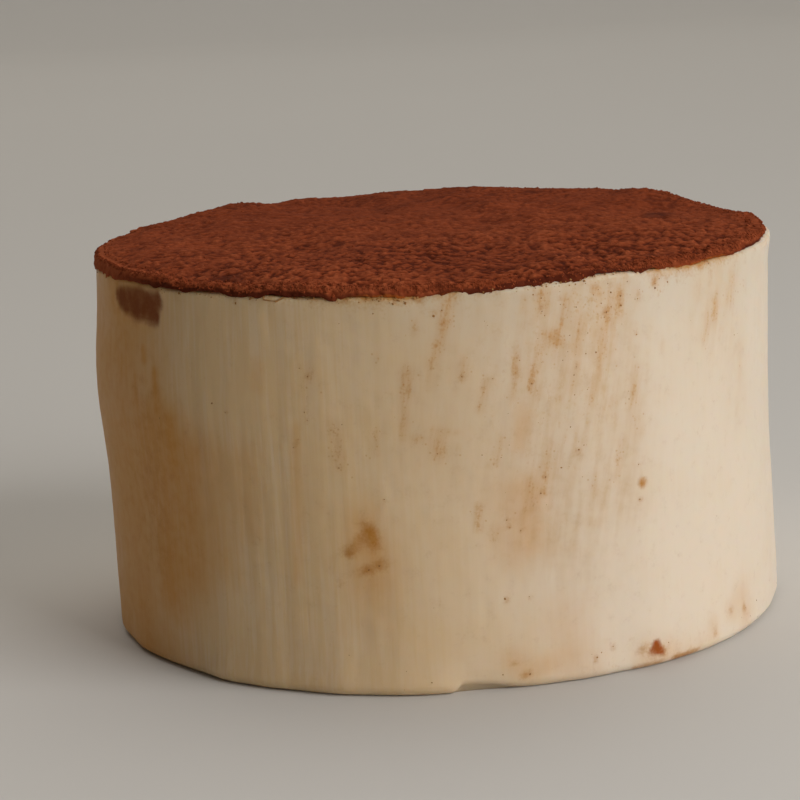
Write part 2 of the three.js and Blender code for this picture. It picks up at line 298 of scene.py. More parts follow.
class CreamSettings(PropertyGroup):
    """Sizes and colours of the cream."""

    columns: count("Columns", "Steps round the axis, a multiple of three", 840)
    side_rows: count("Rows", "Steps up the side", 98)
    base_round: length("Base rounding", "Rounding where the side meets the base", 1.2 * MM)
    rim_round: length("Rim rounding", "Rounding where the side meets the top", 0.6 * MM)
    line_depth: length("Drag lines", "Depth of the fine upright lines that the ring drew", 0.015 * MM)
    band_depth: length("Drag bands", "Depth of the broad upright bands", 0.014 * MM)
    swell: length("Swell", "Rise of the soft unevenness of the side", 0.07 * MM)
    rim_swell: length("Rim swell", "Rise and fall of the cream's rim under the cocoa", 0.05 * MM)
    notch_lift: length("Notch", "How far the lower edge lifts beside the foot", 0.75 * MM)
    patch_depth: length("Patch depth", "How deep the soaked sponge lies", 0.08 * MM)
    glow: length("Glow depth", "How far light travels inside the cream", 2.2 * MM)
    ivory: colour("Ivory", "The palest cream", (0.77, 0.655, 0.52))
    # Butter lies most at the left, away from the key light: partly the cream's yellow, partly painted warm
    # shade
    butter_and_shade: colour("Butter", "The yellower cream", (0.70, 0.50, 0.275))
    blush: colour("Blush", "The cream where it blushes with coffee", (0.60, 0.42, 0.245))
    coffee: colour("Coffee", "Thin smears of coffee", (0.55, 0.315, 0.13))
    soaked: colour("Soaked", "Where coffee soaked right through", (0.46, 0.195, 0.026))
    # Ochre also lays painted warm shade at the left
    ochre: colour("Ochre", "Wide tints of coffee", (0.60, 0.29, 0.065))
    # The veil is partly cocoa dust and partly painted shade, darker towards the rim
    dust_and_shade: colour("Veil", "The cream under the rim, dulled by cocoa dust", (0.50, 0.435, 0.335))
    patch: colour("Patch", "Soaked sponge at the surface", (0.207, 0.049, 0.0015))
    crumb: colour("Crumb", "The soaked crumb by the base", (0.33, 0.075, 0.002))


class CocoaSettings(PropertyGroup):
    """Sizes and colours of the cocoa layer."""

    steps: count("Steps", "Steps across the layer", 290)
    edge_rows: count("Edge rows", "Steps down the rounded edge", 12)
    edge_round: length("Edge rounding", "How far in the layer's edge starts to round over", 1.3 * MM)
    lump: length("Lumps", "Rise of the lumps a few millimetres wide", 0.07 * MM)
    grain: length("Grains", "Rise of the grains up to a millimetre wide", 0.085 * MM)
    hem: length("Hem", "How raggedly the cocoa hangs over the cream's rim", 0.32 * MM)
    powder: colour("Powder", "Dry cocoa", (0.226, 0.0452, 0.0150))
    # Deep also lays painted shade in the pits and under the edge
    deep: colour("Deep", "Cocoa in the pits and where it is damp", (0.078, 0.0140, 0.0058))
    # Dust also lays painted light on the clumps and at the left edge
    dust: colour("Dust", "The palest, driest grains", (0.34, 0.082, 0.030))
    rust: colour("Rust", "Cocoa that drew moisture at the rim", (0.33, 0.085, 0.014))
    brown: colour("Brown", "Damp specks of cocoa on the cream", (0.32, 0.16, 0.052))
    speck: colour("Speck", "Cocoa that lies thin on the cream", (0.44, 0.25, 0.11))


class CrumbSettings(PropertyGroup):
    """Numbers and sizes of the loose grains, crumbs and specks."""

    grains: count("Grains", "Loose grains over the cocoa", 1600)
    grain_size: length("Grain size", "Usual radius of a loose grain", 0.06 * MM)
    edge_grains: count("Edge grains", "Grains packed along the cocoa's edge", 5000)
    edge_grain_size: length("Edge grain size", "Usual radius of a grain along the edge", 0.085 * MM)
    rim_crumbs: count("Rim crumbs", "Crumbs along the cocoa's edge", 650)
    rim_crumb_size: length("Rim crumb size", "Usual radius of a crumb at the edge", 0.07 * MM)
    specks: count("Specks", "Specks of cocoa stuck to the cream", 170)
    speck_size: length("Speck size", "Usual radius of a speck", 0.045 * MM)
    strands: count("Strands", "Fine strands that hang all round the rim", 12)
    strand_size: length("Strand size", "Thickness of a strand", 0.22 * MM)


class StageSettings(PropertyGroup):
    """Floor, light and camera."""

    floor: colour("Floor", "The pale floor", (0.62, 0.61, 0.59))
    floor_size: length("Floor size", "Side of the floor", 6.0)
    distance: length("Distance", "From the camera to the axis", 0.32)
    elevation: angle("Elevation", "Of the camera above the level", math.radians(11.6))
    roll: angle("Roll", "Turn of the camera about its own axis", math.radians(-2.96))
    lens: FloatProperty(name="Lens", description="Focal length on a 36 mm sensor", default=119.0, min=1.0)


SETTINGS = {
    "tiramisu_cream": CreamSettings,
    "tiramisu_cocoa": CocoaSettings,
    "tiramisu_crumbs": CrumbSettings,
    "tiramisu_stage": StageSettings,
}


# Noise and shapes as arrays


def draws(piece):
    """The random draws of a piece, the same each time."""
    return np.random.default_rng(SEEDS[piece])


def smooth_noise(rng, shape, spread):
    """Noise on a grid that closes on itself both ways, blurred over so many cells, with unit variance."""
    rows = np.fft.fftfreq(shape[0])[:, None] * spread[0]
    columns = np.fft.rfftfreq(shape[1])[None, :] * spread[1]
    blur = np.exp(-2.0 * math.pi**2 * (rows**2 + columns**2))
    field = np.fft.irfft2(np.fft.rfft2(rng.standard_normal(shape)) * blur, s=shape)
    field -= field.mean()
    return field / field.std()


def ring_noise(rng, steps, spread):
    """Noise round a ring, blurred over so many steps, with unit variance."""
    return smooth_noise(rng, (1, steps), (0.0, spread))[0]


def ease(value, low, high):
    """0 below low, 1 above high, and smooth between."""
    share = np.clip((value - low) / (high - low), 0.0, 1.0)
    return share * share * (3.0 - 2.0 * share)


def bell(value, middle, spread):
    """1 at the middle, falling away on both sides."""
    return np.exp(-(((value - middle) / spread) ** 2))


def bells(value, rows):
    """A sum of bells, each with its rise, its middle and its spread."""
    return sum(rise * bell(value, middle, spread) for rise, middle, spread in rows)


def from_front(angle):
    """An angle round the axis as degrees from the front, right positive."""
    return np.degrees(np.arctan2(np.sin(angle - FRONT), np.cos(angle - FRONT)))


def between_cells(field, u, v):
    """A square field that repeats, read between its cells at places given in cells."""
    cells = field.shape[0]
    i = np.floor(u).astype(int)
    j = np.floor(v).astype(int)
    fu = u - i
    fv = v - j
    i0, i1, j0, j1 = i % cells, (i + 1) % cells, j % cells, (j + 1) % cells
    low = field[j0, i0] * (1 - fu) + field[j0, i1] * fu
    high = field[j1, i0] * (1 - fu) + field[j1, i1] * fu
    return low * (1 - fv) + high * fv


def sample(field, x, y, span):
    """A square field that repeats every span, read between its cells."""
    cells = field.shape[0]
    return between_cells(field, x / span * cells, y / span * cells)


def clumps(rng, x, y, size):
    """The upper side of a bed of rounded clumps of about one size, from 0 to 1."""
    cells = 256
    offset = rng.random((cells, cells, 2))
    reach = 0.45 + 0.4 * rng.random((cells, cells))
    rise = 0.45 + 0.55 * rng.random((cells, cells))
    u = x / size
    v = y / size
    i = np.floor(u).astype(int)
    j = np.floor(v).astype(int)
    bed = np.zeros_like(u)
    for dj in (-1, 0, 1):
        for di in (-1, 0, 1):
            cell = (j + dj) % cells, (i + di) % cells
            away_u = i + di + offset[cell][..., 0] - u
            away_v = j + dj + offset[cell][..., 1] - v
            near = 1.0 - (away_u**2 + away_v**2) / reach[cell] ** 2
            bed = np.maximum(bed, rise[cell] * np.sqrt(np.clip(near, 0.0, None)))
    return bed


def feeler(node):
    """A tree of a solid's faces, to feel its surface with rays."""
    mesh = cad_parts[node].data
    return BVHTree.FromPolygons([v.co for v in mesh.vertices], [p.vertices for p in mesh.polygons])


def felt_radius(tree, angles, heights):
    """A solid's radius at each height and angle, felt from outside towards the axis."""
    felt = np.empty((len(heights), len(angles)))
    for row, height in enumerate(heights):
        for column, angle in enumerate(angles):
            out = Vector((math.cos(angle), math.sin(angle), 0.0))
            hit = tree.ray_cast(out * (2 * RADIUS) + Vector((0.0, 0.0, height)), -out)[0]
            felt[row, column] = hit.to_2d().length
    return felt


def felt_top(tree, x, y):
    """A solid's height under each point of a grid, felt from above, and no number where there is none."""
    felt = np.full(x.shape, np.nan)
    for place in np.ndindex(x.shape):
        hit = tree.ray_cast(Vector((x[place], y[place], 1.0)), Vector((0.0, 0.0, -1.0)))[0]
        if hit is not None:
            felt[place] = hit.z
    return felt


def more_round(values, columns, kept):
    """Values round a ring on more columns, smoothed by keeping only so many of their waves."""
    spectrum = np.fft.rfft(values, axis=-1)
    wide = np.zeros(values.shape[:-1] + (columns // 2 + 1,), complex)
    wide[..., :kept] = spectrum[..., :kept]
    return np.fft.irfft(wide, columns, axis=-1) * (columns / values.shape[-1])


def ring_cells(rows, columns):
    """Rows and unwrapped columns of the corners of two triangles for each cell between rings."""
    row, column = np.meshgrid(np.arange(rows - 1), np.arange(columns), indexing="ij")
    up = np.array([[0, 0, 1], [0, 1, 1]])
    along = np.array([[0, 1, 1], [0, 1, 0]])
    corner_rows = (row[..., None, None] + up).reshape(-1, 3)
    corner_columns = (column[..., None, None] + along).reshape(-1, 3)
    return corner_rows, corner_columns


def fan(middle, ring, facing_up):
    """Triangles from a middle point to a ring."""
    following = np.roll(ring, -1)
    centre = np.full_like(ring, middle)
    order = (centre, ring, following) if facing_up else (centre, following, ring)
    return np.stack(order, axis=-1)


def make_piece(name, points, faces, places, material, fields=None, smooth=True):
    """A mesh piece with its map for baking and its named fields, riding on the body."""
    mesh = bpy.data.meshes.new(name)
    mesh.from_pydata(points.tolist(), [], faces.tolist())
    layer = mesh.uv_layers.new(name=BAKE_MAP)
    layer.uv.foreach_set("vector", np.ascontiguousarray(places, np.float32).ravel())
    for field, values in (fields or {}).items():
        mesh.attributes.new(field, "FLOAT", "POINT").data.foreach_set("value", values.astype(np.float32))
    if smooth:
        mesh.shade_smooth()
    mesh.materials.append(material)
    piece = bpy.data.objects.new(name, mesh)
    bpy.context.scene.collection.objects.link(piece)
    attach(piece, BODY)
    return piece


def surface(piece):
    """A piece's points and their normals, their degrees from the front and how far out they are."""
    mesh = piece.data
    points = np.empty(len(mesh.vertices) * 3, np.float32)
    normals = np.empty_like(points)
    mesh.vertices.foreach_get("co", points)
    mesh.vertex_normals.foreach_get("vector", normals)
    points = points.reshape(-1, 3).astype(float)
    turn = from_front(np.arctan2(points[:, 1], points[:, 0]))
    return points, normals.reshape(-1, 3).astype(float), turn, np.hypot(points[:, 0], points[:, 1])


# Materials


class Sheet:
    """Puts nodes on a tree and joins them."""

    def __init__(self, tree):
        self.tree = tree

    def put(self, kind, inputs=None, **settings):
        """A new node with its settings, and its inputs fed with values or sockets."""
        node = self.tree.nodes.new(kind)
        for name, value in settings.items():
            setattr(node, name, value)
        for key, value in (inputs or {}).items():
            self.feed(node.inputs[key], value)
        return node

    def feed(self, socket, value):
        """A value on a socket, or a link to it."""
        if isinstance(value, NodeSocket):
            self.tree.links.new(value, socket)
        else:
            socket.default_value = value

    def math(self, operation, first, second=0.0, third=0.0, clamp=False):
        """The value of a sum."""
        inputs = {0: first, 1: second, 2: third}
        return self.put("ShaderNodeMath", inputs, operation=operation, use_clamp=clamp).outputs[0]

    def times(self, first, second, clamp=False):
        """One value times another."""
        return self.math("MULTIPLY", first, second, clamp=clamp)

    def most(self, first, *others, clamp=False):
        """The greatest of some values."""
        for other in others:
            first = self.math("MAXIMUM", first, other, clamp=clamp and other is others[-1])
        return first

    def stretch(self, vector, scale):
        """A vector with each axis scaled."""
        return self.put("ShaderNodeVectorMath", {0: vector, 1: scale}, operation="MULTIPLY").outputs[0]

    def noise(self, vector, size, detail=2.0, roughness=0.5):
        """Noise with features of about one size."""
        inputs = {"Vector": vector, "Scale": 1.0 / size, "Detail": detail, "Roughness": roughness}
        return self.put("ShaderNodeTexNoise", inputs).outputs["Fac"]

    def specks(self, vector, size, chance):
        """Round specks, one to a cell of a size, in as many of the cells as the chance says."""
        cells = self.put("ShaderNodeTexVoronoi", {"Vector": vector, "Scale": 1.0 / size}).outputs
        drawn = self.put("ShaderNodeSeparateColor", {"Color": cells["Color"]}).outputs["Red"]
        near = self.between(cells["Distance"], 0.15, 0.4, 1.0, 0.0)
        return self.times(near, self.math("LESS_THAN", drawn, chance))

    def places(self):
        """Places in the piece's own frame."""
        return self.put("ShaderNodeTexCoord").outputs["Object"]

    def field(self, name):
        """A field that the mesh carries."""
        return self.put("ShaderNodeAttribute", attribute_name=name).outputs["Fac"]

    def frayed(self, mask, *noises):
        """A mask moved up and down by weighed noises, so that it ends in a broken edge."""
        for noise, weight in noises:
            mask = self.math("MULTIPLY_ADD", self.math("SUBTRACT", noise, 0.5), weight, mask)
        return mask

    def between(self, value, low, high, to_low=0.0, to_high=1.0):
        """A value eased from one range to another."""
        inputs = {"Value": value, "From Min": low, "From Max": high, "To Min": to_low, "To Max": to_high}
        return self.put("ShaderNodeMapRange", inputs, interpolation_type="SMOOTHSTEP").outputs["Result"]

    def mix(self, factor, first, second):
        """One colour laid over another."""
        node = self.put("ShaderNodeMix", data_type="RGBA")
        for index, value in ((0, factor), (6, first), (7, second)):
            plain = not isinstance(value, NodeSocket) and index
            self.feed(node.inputs[index], (*value, 1.0) if plain else value)
        return node.outputs[2]

    def group(self, name, inputs):
        """A shared group with its own values."""
        return self.put("ShaderNodeGroup", inputs, node_tree=shared_group(name)).outputs

    def bump(self, shader, strength, distance, height):
        """Relief on a shader from a height."""
        inputs = {"Strength": strength, "Distance": distance, "Height": height}
        self.feed(shader["Normal"], self.put("ShaderNodeBump", inputs).outputs["Normal"])


def fill_lines(sheet, start, end):
    """Upright lines, drawn out along the height."""
    wide = sheet.math("DIVIDE", 1.0, start["Width"])
    long = sheet.math("DIVIDE", 1.0, start["Length"])
    scale = sheet.put("ShaderNodeCombineXYZ", {0: wide, 1: wide, 2: long}).outputs[0]
    drawn = sheet.stretch(start["Vector"], scale)
    sheet.feed(end["Lines"], sheet.noise(drawn, 1.0, 3.0, 0.55))


def fill_powder(sheet, start, end):
    """Fine powder: a height for bump, and a mottle for colour."""
    scale = sheet.math("DIVIDE", 1.0, start["Grain"])
    inputs = {"Vector": start["Vector"], "Scale": scale, "Detail": 3.0, "Roughness": 0.65}
    fine = sheet.put("ShaderNodeTexNoise", inputs).outputs["Fac"]
    inputs.update({"Scale": sheet.times(scale, 0.22), "Roughness": 0.6})
    coarse = sheet.put("ShaderNodeTexNoise", inputs).outputs["Fac"]
    sheet.feed(end["Height"], sheet.math("ADD", fine, sheet.times(coarse, 0.8)))
    sheet.feed(end["Mottle"], coarse)


def fill_cocoa(sheet, start, end):
    """Dry matt cocoa in three tones, darker in damp spots, with painted shade in pits and under the edge,
    painted light on clumps and at the left, and rusty along the hem.
    """
    powder = sheet.group("Powder", {"Vector": start["Vector"], "Grain": start["Grain"]})
    cloud = sheet.noise(start["Vector"], 4.5 * MM, roughness=0.6)
    fleck = sheet.noise(start["Vector"], 0.4 * MM, roughness=0.6)
    tone = sheet.mix(sheet.between(powder["Mottle"], 0.2, 0.5, 0.55, 1.0), start["Dark"], start["Middle"])
    tone = sheet.mix(sheet.between(cloud, 0.36, 0.7, 0.0, 0.36), tone, start["Deep"])
    # Paler grains on random flecks, and painted light where the pit field is below nought
    pale = sheet.math("SUBTRACT", sheet.between(fleck, 0.42, 0.72, 0.08, 0.62), start["Pit"])
    tone = sheet.mix(sheet.math("MAXIMUM", pale, 0.0), tone, start["Light"])
    # Painted shade in the pits
    tone = sheet.mix(sheet.between(start["Pit"], 0.25, 1.0, 0.0, 0.85), tone, start["Deep"])
    # The damp field: damp spots, and painted shade under the edge's overhang
    damp = sheet.between(sheet.frayed(start["Damp"], (cloud, 1.2), (fleck, 0.5)), 0.1, 1.0, 0.0, 0.9)
    tone = sheet.mix(damp, tone, start["Deep"])
    rusty = sheet.frayed(start["Hem"], (cloud, 0.6), (fleck, 0.8))
    sheet.feed(end["Color"], sheet.mix(sheet.between(rusty, 0.45, 1.0, 0.0, 0.9), tone, start["Rust"]))
    sheet.feed(end["Damp"], damp)
    sheet.feed(end["Height"], powder["Height"])


# What each shared group is filled by, takes and gives
GROUPS = {
    "Drawn lines": (
        fill_lines, {"Vector": "Vector", "Width": "Float", "Length": "Float"}, {"Lines": "Float"},
    ),
    "Powder": (fill_powder, {"Vector": "Vector", "Grain": "Float"}, {"Height": "Float", "Mottle": "Float"}),
    "Cocoa": (
        fill_cocoa, {
            "Vector": "Vector",
            **dict.fromkeys(("Grain", "Pit", "Damp", "Hem"), "Float"),
            **dict.fromkeys(("Dark", "Middle", "Light", "Deep", "Rust"), "Color"),
        }, {"Color": "Color", "Damp": "Float", "Height": "Float"},
    ),
}


def shared_group(name):
    """A shared group of nodes, filled the first time that it is asked for."""
    group = bpy.data.node_groups.get(name)
    if group is None:
        group = bpy.data.node_groups.new(name, "ShaderNodeTree")
        fill, inputs, outputs = GROUPS[name]
        for side, sockets in (("INPUT", inputs), ("OUTPUT", outputs)):
            for socket, kind in sockets.items():
                group.interface.new_socket(name=socket, in_out=side, socket_type="NodeSocket" + kind)
        sheet = Sheet(group)
        fill(sheet, sheet.put("NodeGroupInput").outputs, sheet.put("NodeGroupOutput").inputs)
    return group


def new_material(name, values):
    """A material with its sheet and its shader, on which some plain values are set."""
    material = bpy.data.materials.new(name)
    material.use_nodes = True
    shader = material.node_tree.nodes["Principled BSDF"].inputs
    for key, value in values.items():
        shader[key].default_value = value
    return material, Sheet(material.node_tree), shader


def lines_at(sheet, coordinates, width, tall):
    """Upright lines of a width and length."""
    inputs = {"Vector": coordinates, "Width": width, "Length": tall}
    return sheet.group("Drawn lines", inputs)["Lines"]


def cream_material(look):
    """Moist ivory cream with drag lines, coffee smears, blots and the bare patch."""
    material, sheet, shader = new_material("cream satin", {
        "Subsurface Weight": 0.35, "Subsurface Radius": (1.0, 0.6, 0.32), "Subsurface Scale": look.glow,
        "Specular IOR Level": 0.27,
    })
    place = sheet.places()
    fine = lines_at(sheet, place, 0.5 * MM, 14.0 * MM)
    broad = lines_at(sheet, place, 2.6 * MM, 60.0 * MM)
    up = sheet.put("ShaderNodeSeparateXYZ", {0: place}).outputs["Z"]
    lean = {"Vector": place, "Angle": sheet.times(up, -0.2 / RADIUS)}
    leaning = sheet.put("ShaderNodeVectorRotate", lean, rotation_type="Z_AXIS").outputs[0]
    streak = lines_at(sheet, leaning, 0.42 * MM, 3.0 * MM)
    drag = lines_at(sheet, leaning, 1.1 * MM, 9.0 * MM)
    cloud = sheet.noise(place, 8.0 * MM)
    soft = sheet.noise(place, 1.3 * MM)
    pore = sheet.noise(place, 0.45 * MM)
    fleck = sheet.noise(place, 0.28 * MM, roughness=0.6)
    drawn = sheet.field("drawn")

    # The cream itself: ivory to butter, partly painted warm shade at the left; a veil of dust and painted
    # shade up to the rim; its blush
    butter_and_shade = sheet.field("butter_and_shade")
    butter_and_shade = sheet.math("MULTIPLY_ADD", sheet.between(broad, 0.36, 0.7, -0.07, 0.08), drawn, butter_and_shade)
    butter_and_shade = sheet.math("MULTIPLY_ADD", sheet.between(fine, 0.36, 0.66, -0.16, 0.16), drawn, butter_and_shade)
    butter_and_shade = sheet.math("ADD", butter_and_shade, sheet.between(cloud, 0.38, 0.68, -0.05, 0.1), clamp=True)
    colour_now = sheet.mix(butter_and_shade, look.ivory, look.butter_and_shade)
    # Painted shade and dust, darker towards the rim
    colour_now = sheet.mix(sheet.field("dust_and_shade"), colour_now, look.dust_and_shade)
    blush = sheet.times(sheet.field("blush"), sheet.between(drag, 0.34, 0.66, 0.6, 1.1))
    blush = sheet.times(blush, sheet.between(soft, 0.3, 0.7, 0.75, 1.1))
    colour_now = sheet.mix(blush, colour_now, look.blush)

    # Thin coffee: the smears' halo and core, stray flecks and wide tints, at the left partly painted warm
    # shade
    smear = sheet.field("smear")
    zone = sheet.field("zone")
    halo = sheet.between(smear, 0.0, 1.0, 0.0, 0.5)
    halo = sheet.times(halo, sheet.between(streak, 0.3, 0.65, 0.5, 1.15))
    core = sheet.frayed(smear, (streak, 1.2), (fleck, 0.7), (pore, 0.7), (soft, 0.4))
    core = sheet.times(sheet.between(core, 0.28, 1.3), sheet.between(smear, 0.03, 0.45))
    stray = sheet.frayed(sheet.times(zone, 0.14), (pore, 1.3), (streak, 1.0))
    stray = sheet.times(sheet.between(stray, 0.16, 0.5), sheet.times(zone, 0.5))
    tint = sheet.times(sheet.field("tint"), sheet.between(soft, 0.3, 0.7, 0.92, 1.05))
    tint = sheet.times(tint, sheet.between(fine, 0.36, 0.66, 0.94, 1.02), clamp=True)
    colour_now = sheet.mix(tint, colour_now, look.ochre)
    colour_now = sheet.mix(sheet.most(halo, core, stray, clamp=True), colour_now, look.coffee)

    # Soaked marks: dots, blots, the fringe below the rim, the bare patch and the crumb
    fringe = sheet.frayed(sheet.field("fringe"), (fleck, 0.6), (soft, 0.7))
    fringe = sheet.between(fringe, 0.15, 0.95, 0.0, 0.9)
    dots = sheet.times(sheet.between(fleck, 0.58, 0.74, 0.0, 0.6), sheet.most(core, stray))
    thick = sheet.math("MULTIPLY_ADD", smear, 0.35, sheet.between(zone, 0.5, 1.5, 0.0, 0.45))
    specks = sheet.specks(place, 0.4 * MM, thick)
    dots = sheet.most(dots, sheet.times(specks, 0.36))
    blot = sheet.between(sheet.frayed(sheet.field("blot"), (fleck, 0.5), (soft, 0.6)), 0.05, 1.1)
    colour_now = sheet.mix(sheet.most(dots, blot, fringe), colour_now, look.soaked)
    bare = sheet.between(sheet.frayed(sheet.field("patch"), (fleck, 0.2), (soft, 0.5)), 0.0, 1.05)
    colour_now = sheet.mix(bare, colour_now, look.patch)
    crumb = sheet.between(sheet.frayed(sheet.field("crumb"), (fleck, 0.3), (soft, 0.3)), 0.1, 1.0)
    colour_now = sheet.mix(crumb, colour_now, look.crumb)
    sheet.feed(shader["Base Color"], colour_now)

    # Gloss and relief
    rough = sheet.between(cloud, 0.3, 0.7, 0.40, 0.52)
    rough = sheet.math("MULTIPLY_ADD", sheet.most(core, bare, crumb), 0.25, rough)
    sheet.feed(shader["Roughness"], rough)
    lines = sheet.times(fine, drawn)
    relief = sheet.math("MULTIPLY_ADD", lines, 1.2, sheet.times(fleck, 0.14))
    sheet.bump(shader, 0.35, 0.06 * MM, relief)
    return material


def cocoa_material(name, look, tones, grain, depth):
    """A cocoa of three tones, with powder of a grain and depth."""
    if name in bpy.data.materials:
        return bpy.data.materials[name]
    material, sheet, shader = new_material(name, {"Specular IOR Level": 0.04})
    inputs = {"Vector": sheet.places(), "Grain": grain}
    inputs.update({field.title(): sheet.field(field) for field in ("pit", "damp", "hem")})
    inputs.update({tone: (*value, 1.0) for tone, value in zip(("Dark", "Middle", "Light"), tones)})
    inputs.update({"Deep": (*look.deep, 1.0), "Rust": (*look.rust, 1.0)})
    cocoa = sheet.group("Cocoa", inputs)
    sheet.feed(shader["Base Color"], cocoa["Color"])
    sheet.feed(shader["Roughness"], sheet.math("MULTIPLY_ADD", cocoa["Damp"], -0.15, 0.97))
    sheet.bump(shader, 0.6, depth, cocoa["Height"])
    return material


def layer_cocoa(look):
    """The cocoa of the layer."""
    return cocoa_material("cocoa powder", look, (look.deep, look.powder, look.dust), 0.14 * MM, 0.08 * MM)


def loose_cocoa(look):
    """The cocoa of loose grains and crumbs."""
    return cocoa_material("cocoa grains", look, (look.powder, look.powder, look.dust), 0.12 * MM, 0.03 * MM)


def speck_cocoa(look):
    """The cocoa of specks and strands on the cream."""
    return cocoa_material("cocoa specks", look, (look.brown, look.brown, look.speck), 0.12 * MM, 0.03 * MM)


def crumb_material(look):
    """Coffee-soaked crumb: rusty brown, a little moist."""
    material, sheet, shader = new_material("soaked crumb", {"Specular IOR Level": 0.25})
    place = sheet.places()
    powder = sheet.group("Powder", {"Vector": place, "Grain": 0.25 * MM})
    rusty = sheet.between(powder["Mottle"], 0.3, 0.6)
    sheet.feed(shader["Base Color"], sheet.mix(rusty, look.powder, look.rust))
    sheet.feed(shader["Roughness"], sheet.between(powder["Mottle"], 0.3, 0.7, 0.5, 0.75))
    sheet.bump(shader, 0.5, 0.08 * MM, powder["Height"])
    return material


def floor_material(look):
    """The pale floor."""
    material, sheet, shader = new_material("pale floor", {"Roughness": 0.85, "Specular IOR Level": 0.2})
    cloud = sheet.noise(sheet.places(), 0.4)
    pale = tuple(min(1.0, 1.05 * part) for part in look.floor)
    sheet.feed(shader["Base Color"], sheet.mix(cloud, look.floor, pale))
    return material


# Pieces


def notch_lift(look, turn):
    """How far the cream's lower edge lifts at each angle: at once on the left, slowly to the right."""
    return look.notch_lift * ease(turn, 0.6, 2.2) * (1.0 - ease(turn, 3.5, 13.0))


def hem_line(turn):
    """How far above the solid's rim the cocoa's lower edge runs at each degree from the front."""
    return (HEM_RISE + bells(turn, HEM_SWELLS)) * MM


def rim_wave(look, turn):
    """How far the cream's rim rises above its solid at each angle, to just over the cocoa's lower edge."""
    wave = sum(rise * np.sin(np.radians(times * turn) + start) for rise, times, start in RIM_WAVES)
    return hem_line(turn) + 0.1 * MM + look.rim_swell * wave


def cream_relief(look, rng, turn, heights):
    """How far the side stands out from the felt solid: drag lines, bands and soft swell."""
    rows, columns = len(heights), len(turn)
    column = 2 * math.pi * RADIUS / columns
    row = (heights[-1] - heights[0]) / (rows - 1)

    def layer(width, tall):
        return smooth_noise(rng, (rows, columns), (tall / row, width / column))

    left = 0.4 + 1.1 * bell(turn, -34.0, 20.0) + 0.6 * bell(turn, 140.0, 30.0)
    relief = look.line_depth * left * (0.5 * layer(0.28 * MM, 4 * MM) + layer(0.6 * MM, 9 * MM))
    relief += look.band_depth * (0.6 * layer(1.3 * MM, 12 * MM) + layer(3.5 * MM, 25 * MM))
    relief += look.swell * layer(4.5 * MM, 5 * MM)
    relief += 0.010 * MM * layer(0.4 * MM, 0.5 * MM)
    crumbled = ease(heights, RIM - 1.5 * MM, RIM)[:, None] + ease(-heights, -1.2 * MM, 0.0)[:, None]
    relief += 0.06 * MM * crumbled * layer(0.7 * MM, 0.7 * MM)
    return relief


def strokes_field(laid, girth, height, crisp=2.0, widened=1.0):
    """Strokes laid over each other at each place on the side: the crisper, the harder their edges."""
    field = np.zeros(np.broadcast(girth, height).shape)
    round_trip = 2 * math.pi * RADIUS
    for stroke in laid:
        reach = math.radians(stroke.end_turn - stroke.turn) * RADIUS
        rise = (stroke.end_height - stroke.height) * MM
        across = girth - math.radians(stroke.turn) * RADIUS
        across = (across + round_trip / 2) % round_trip - round_trip / 2
        up = height - stroke.height * MM
        share = np.clip((across * reach + up * rise) / max(reach**2 + rise**2, MM**2 * 1e-6), 0.0, 1.0)
        away = np.hypot(across - share * reach, up - share * rise) / (stroke.half_width * widened * MM)
        field += stroke.strength * np.exp(-0.7 * away**crisp) * (1.0 - field)
    return field


def hidden_strokes(rng, number, half_width, long, strength):
    """Strokes for the sides that the photo doesn't show, like those on the sides that it does."""
    rows = []
    for _ in range(number):
        turn = rng.uniform(80.0, 280.0)
        height = 42.5 - abs(rng.normal(0.0, 12.0)) % 40.0
        tall = long * rng.uniform(0.4, 1.4)
        wide = half_width * rng.uniform(0.7, 1.3)
        strong = strength * rng.uniform(0.5, 1.0)
        rows.append((turn, height, turn - 0.3 * tall, height - tall, wide, strong))
    return strokes(*rows)


def fleck_zone(turn, height):
    """How thick the stray flecks lie, by degrees and millimetres up: the back is like the front."""
    turn = np.where(np.abs(turn) > 90.0, np.sign(turn) * 180.0 - turn, turn)
    return FLECK_SPARSE + sum(
        thick * bell(turn, at, wide) * bell(height, up, tall) for thick, at, wide, up, tall in FLECK_ZONES
    )


def butter_and_shade_tone(turn, height):
    """How yellow the cream is, partly painted warm shade: most at the left, away from the key light, least
    at the right, and more low down at the front.
    """
    butter_and_shade = 0.88 * ease(-turn, -26.0, 10.0) + 0.12 * ease(-turn, 18.0, 34.0)
    butter_and_shade = butter_and_shade * (1.0 - 0.5 * ease(-turn, 100.0, 170.0)) + 0.45 * ease(turn, 110.0, 178.0)
    return butter_and_shade + 0.2 * bell(turn, 14.0, 9.0) * (1.0 - ease(height, 5.0 * MM, 14.0 * MM))


def dust_and_shade_veil(turn, height):
    """How much cocoa dust and painted shade dull the cream: more towards the rim, and hardly any at the
    left.
    """
    dusty = (0.12 + 0.88 * ease(turn, -24.0, 2.0)) * (1.0 - 0.5 * ease(turn, 50.0, 80.0))
    dust = 0.28 * np.clip((height / MM - 6.0) / 38.0, 0.0, 1.0) + 0.24 * ease(height / MM, 34.0, 44.0)
    return dusty * dust


def rim_fringe(turn, below):
    """How far damp cocoa stains the cream just below the rim: in two stretches of the front, and behind."""
    damp = 0.35 + 0.65 * np.maximum(bell(turn, -6.0, 14.0), bell(turn, 46.0, 12.0))
    damp = np.maximum(damp, 0.5 * ease(np.abs(turn), 90.0, 110.0))
    return damp * np.exp(-np.clip(below, 0.0, None) / (0.9 * MM))


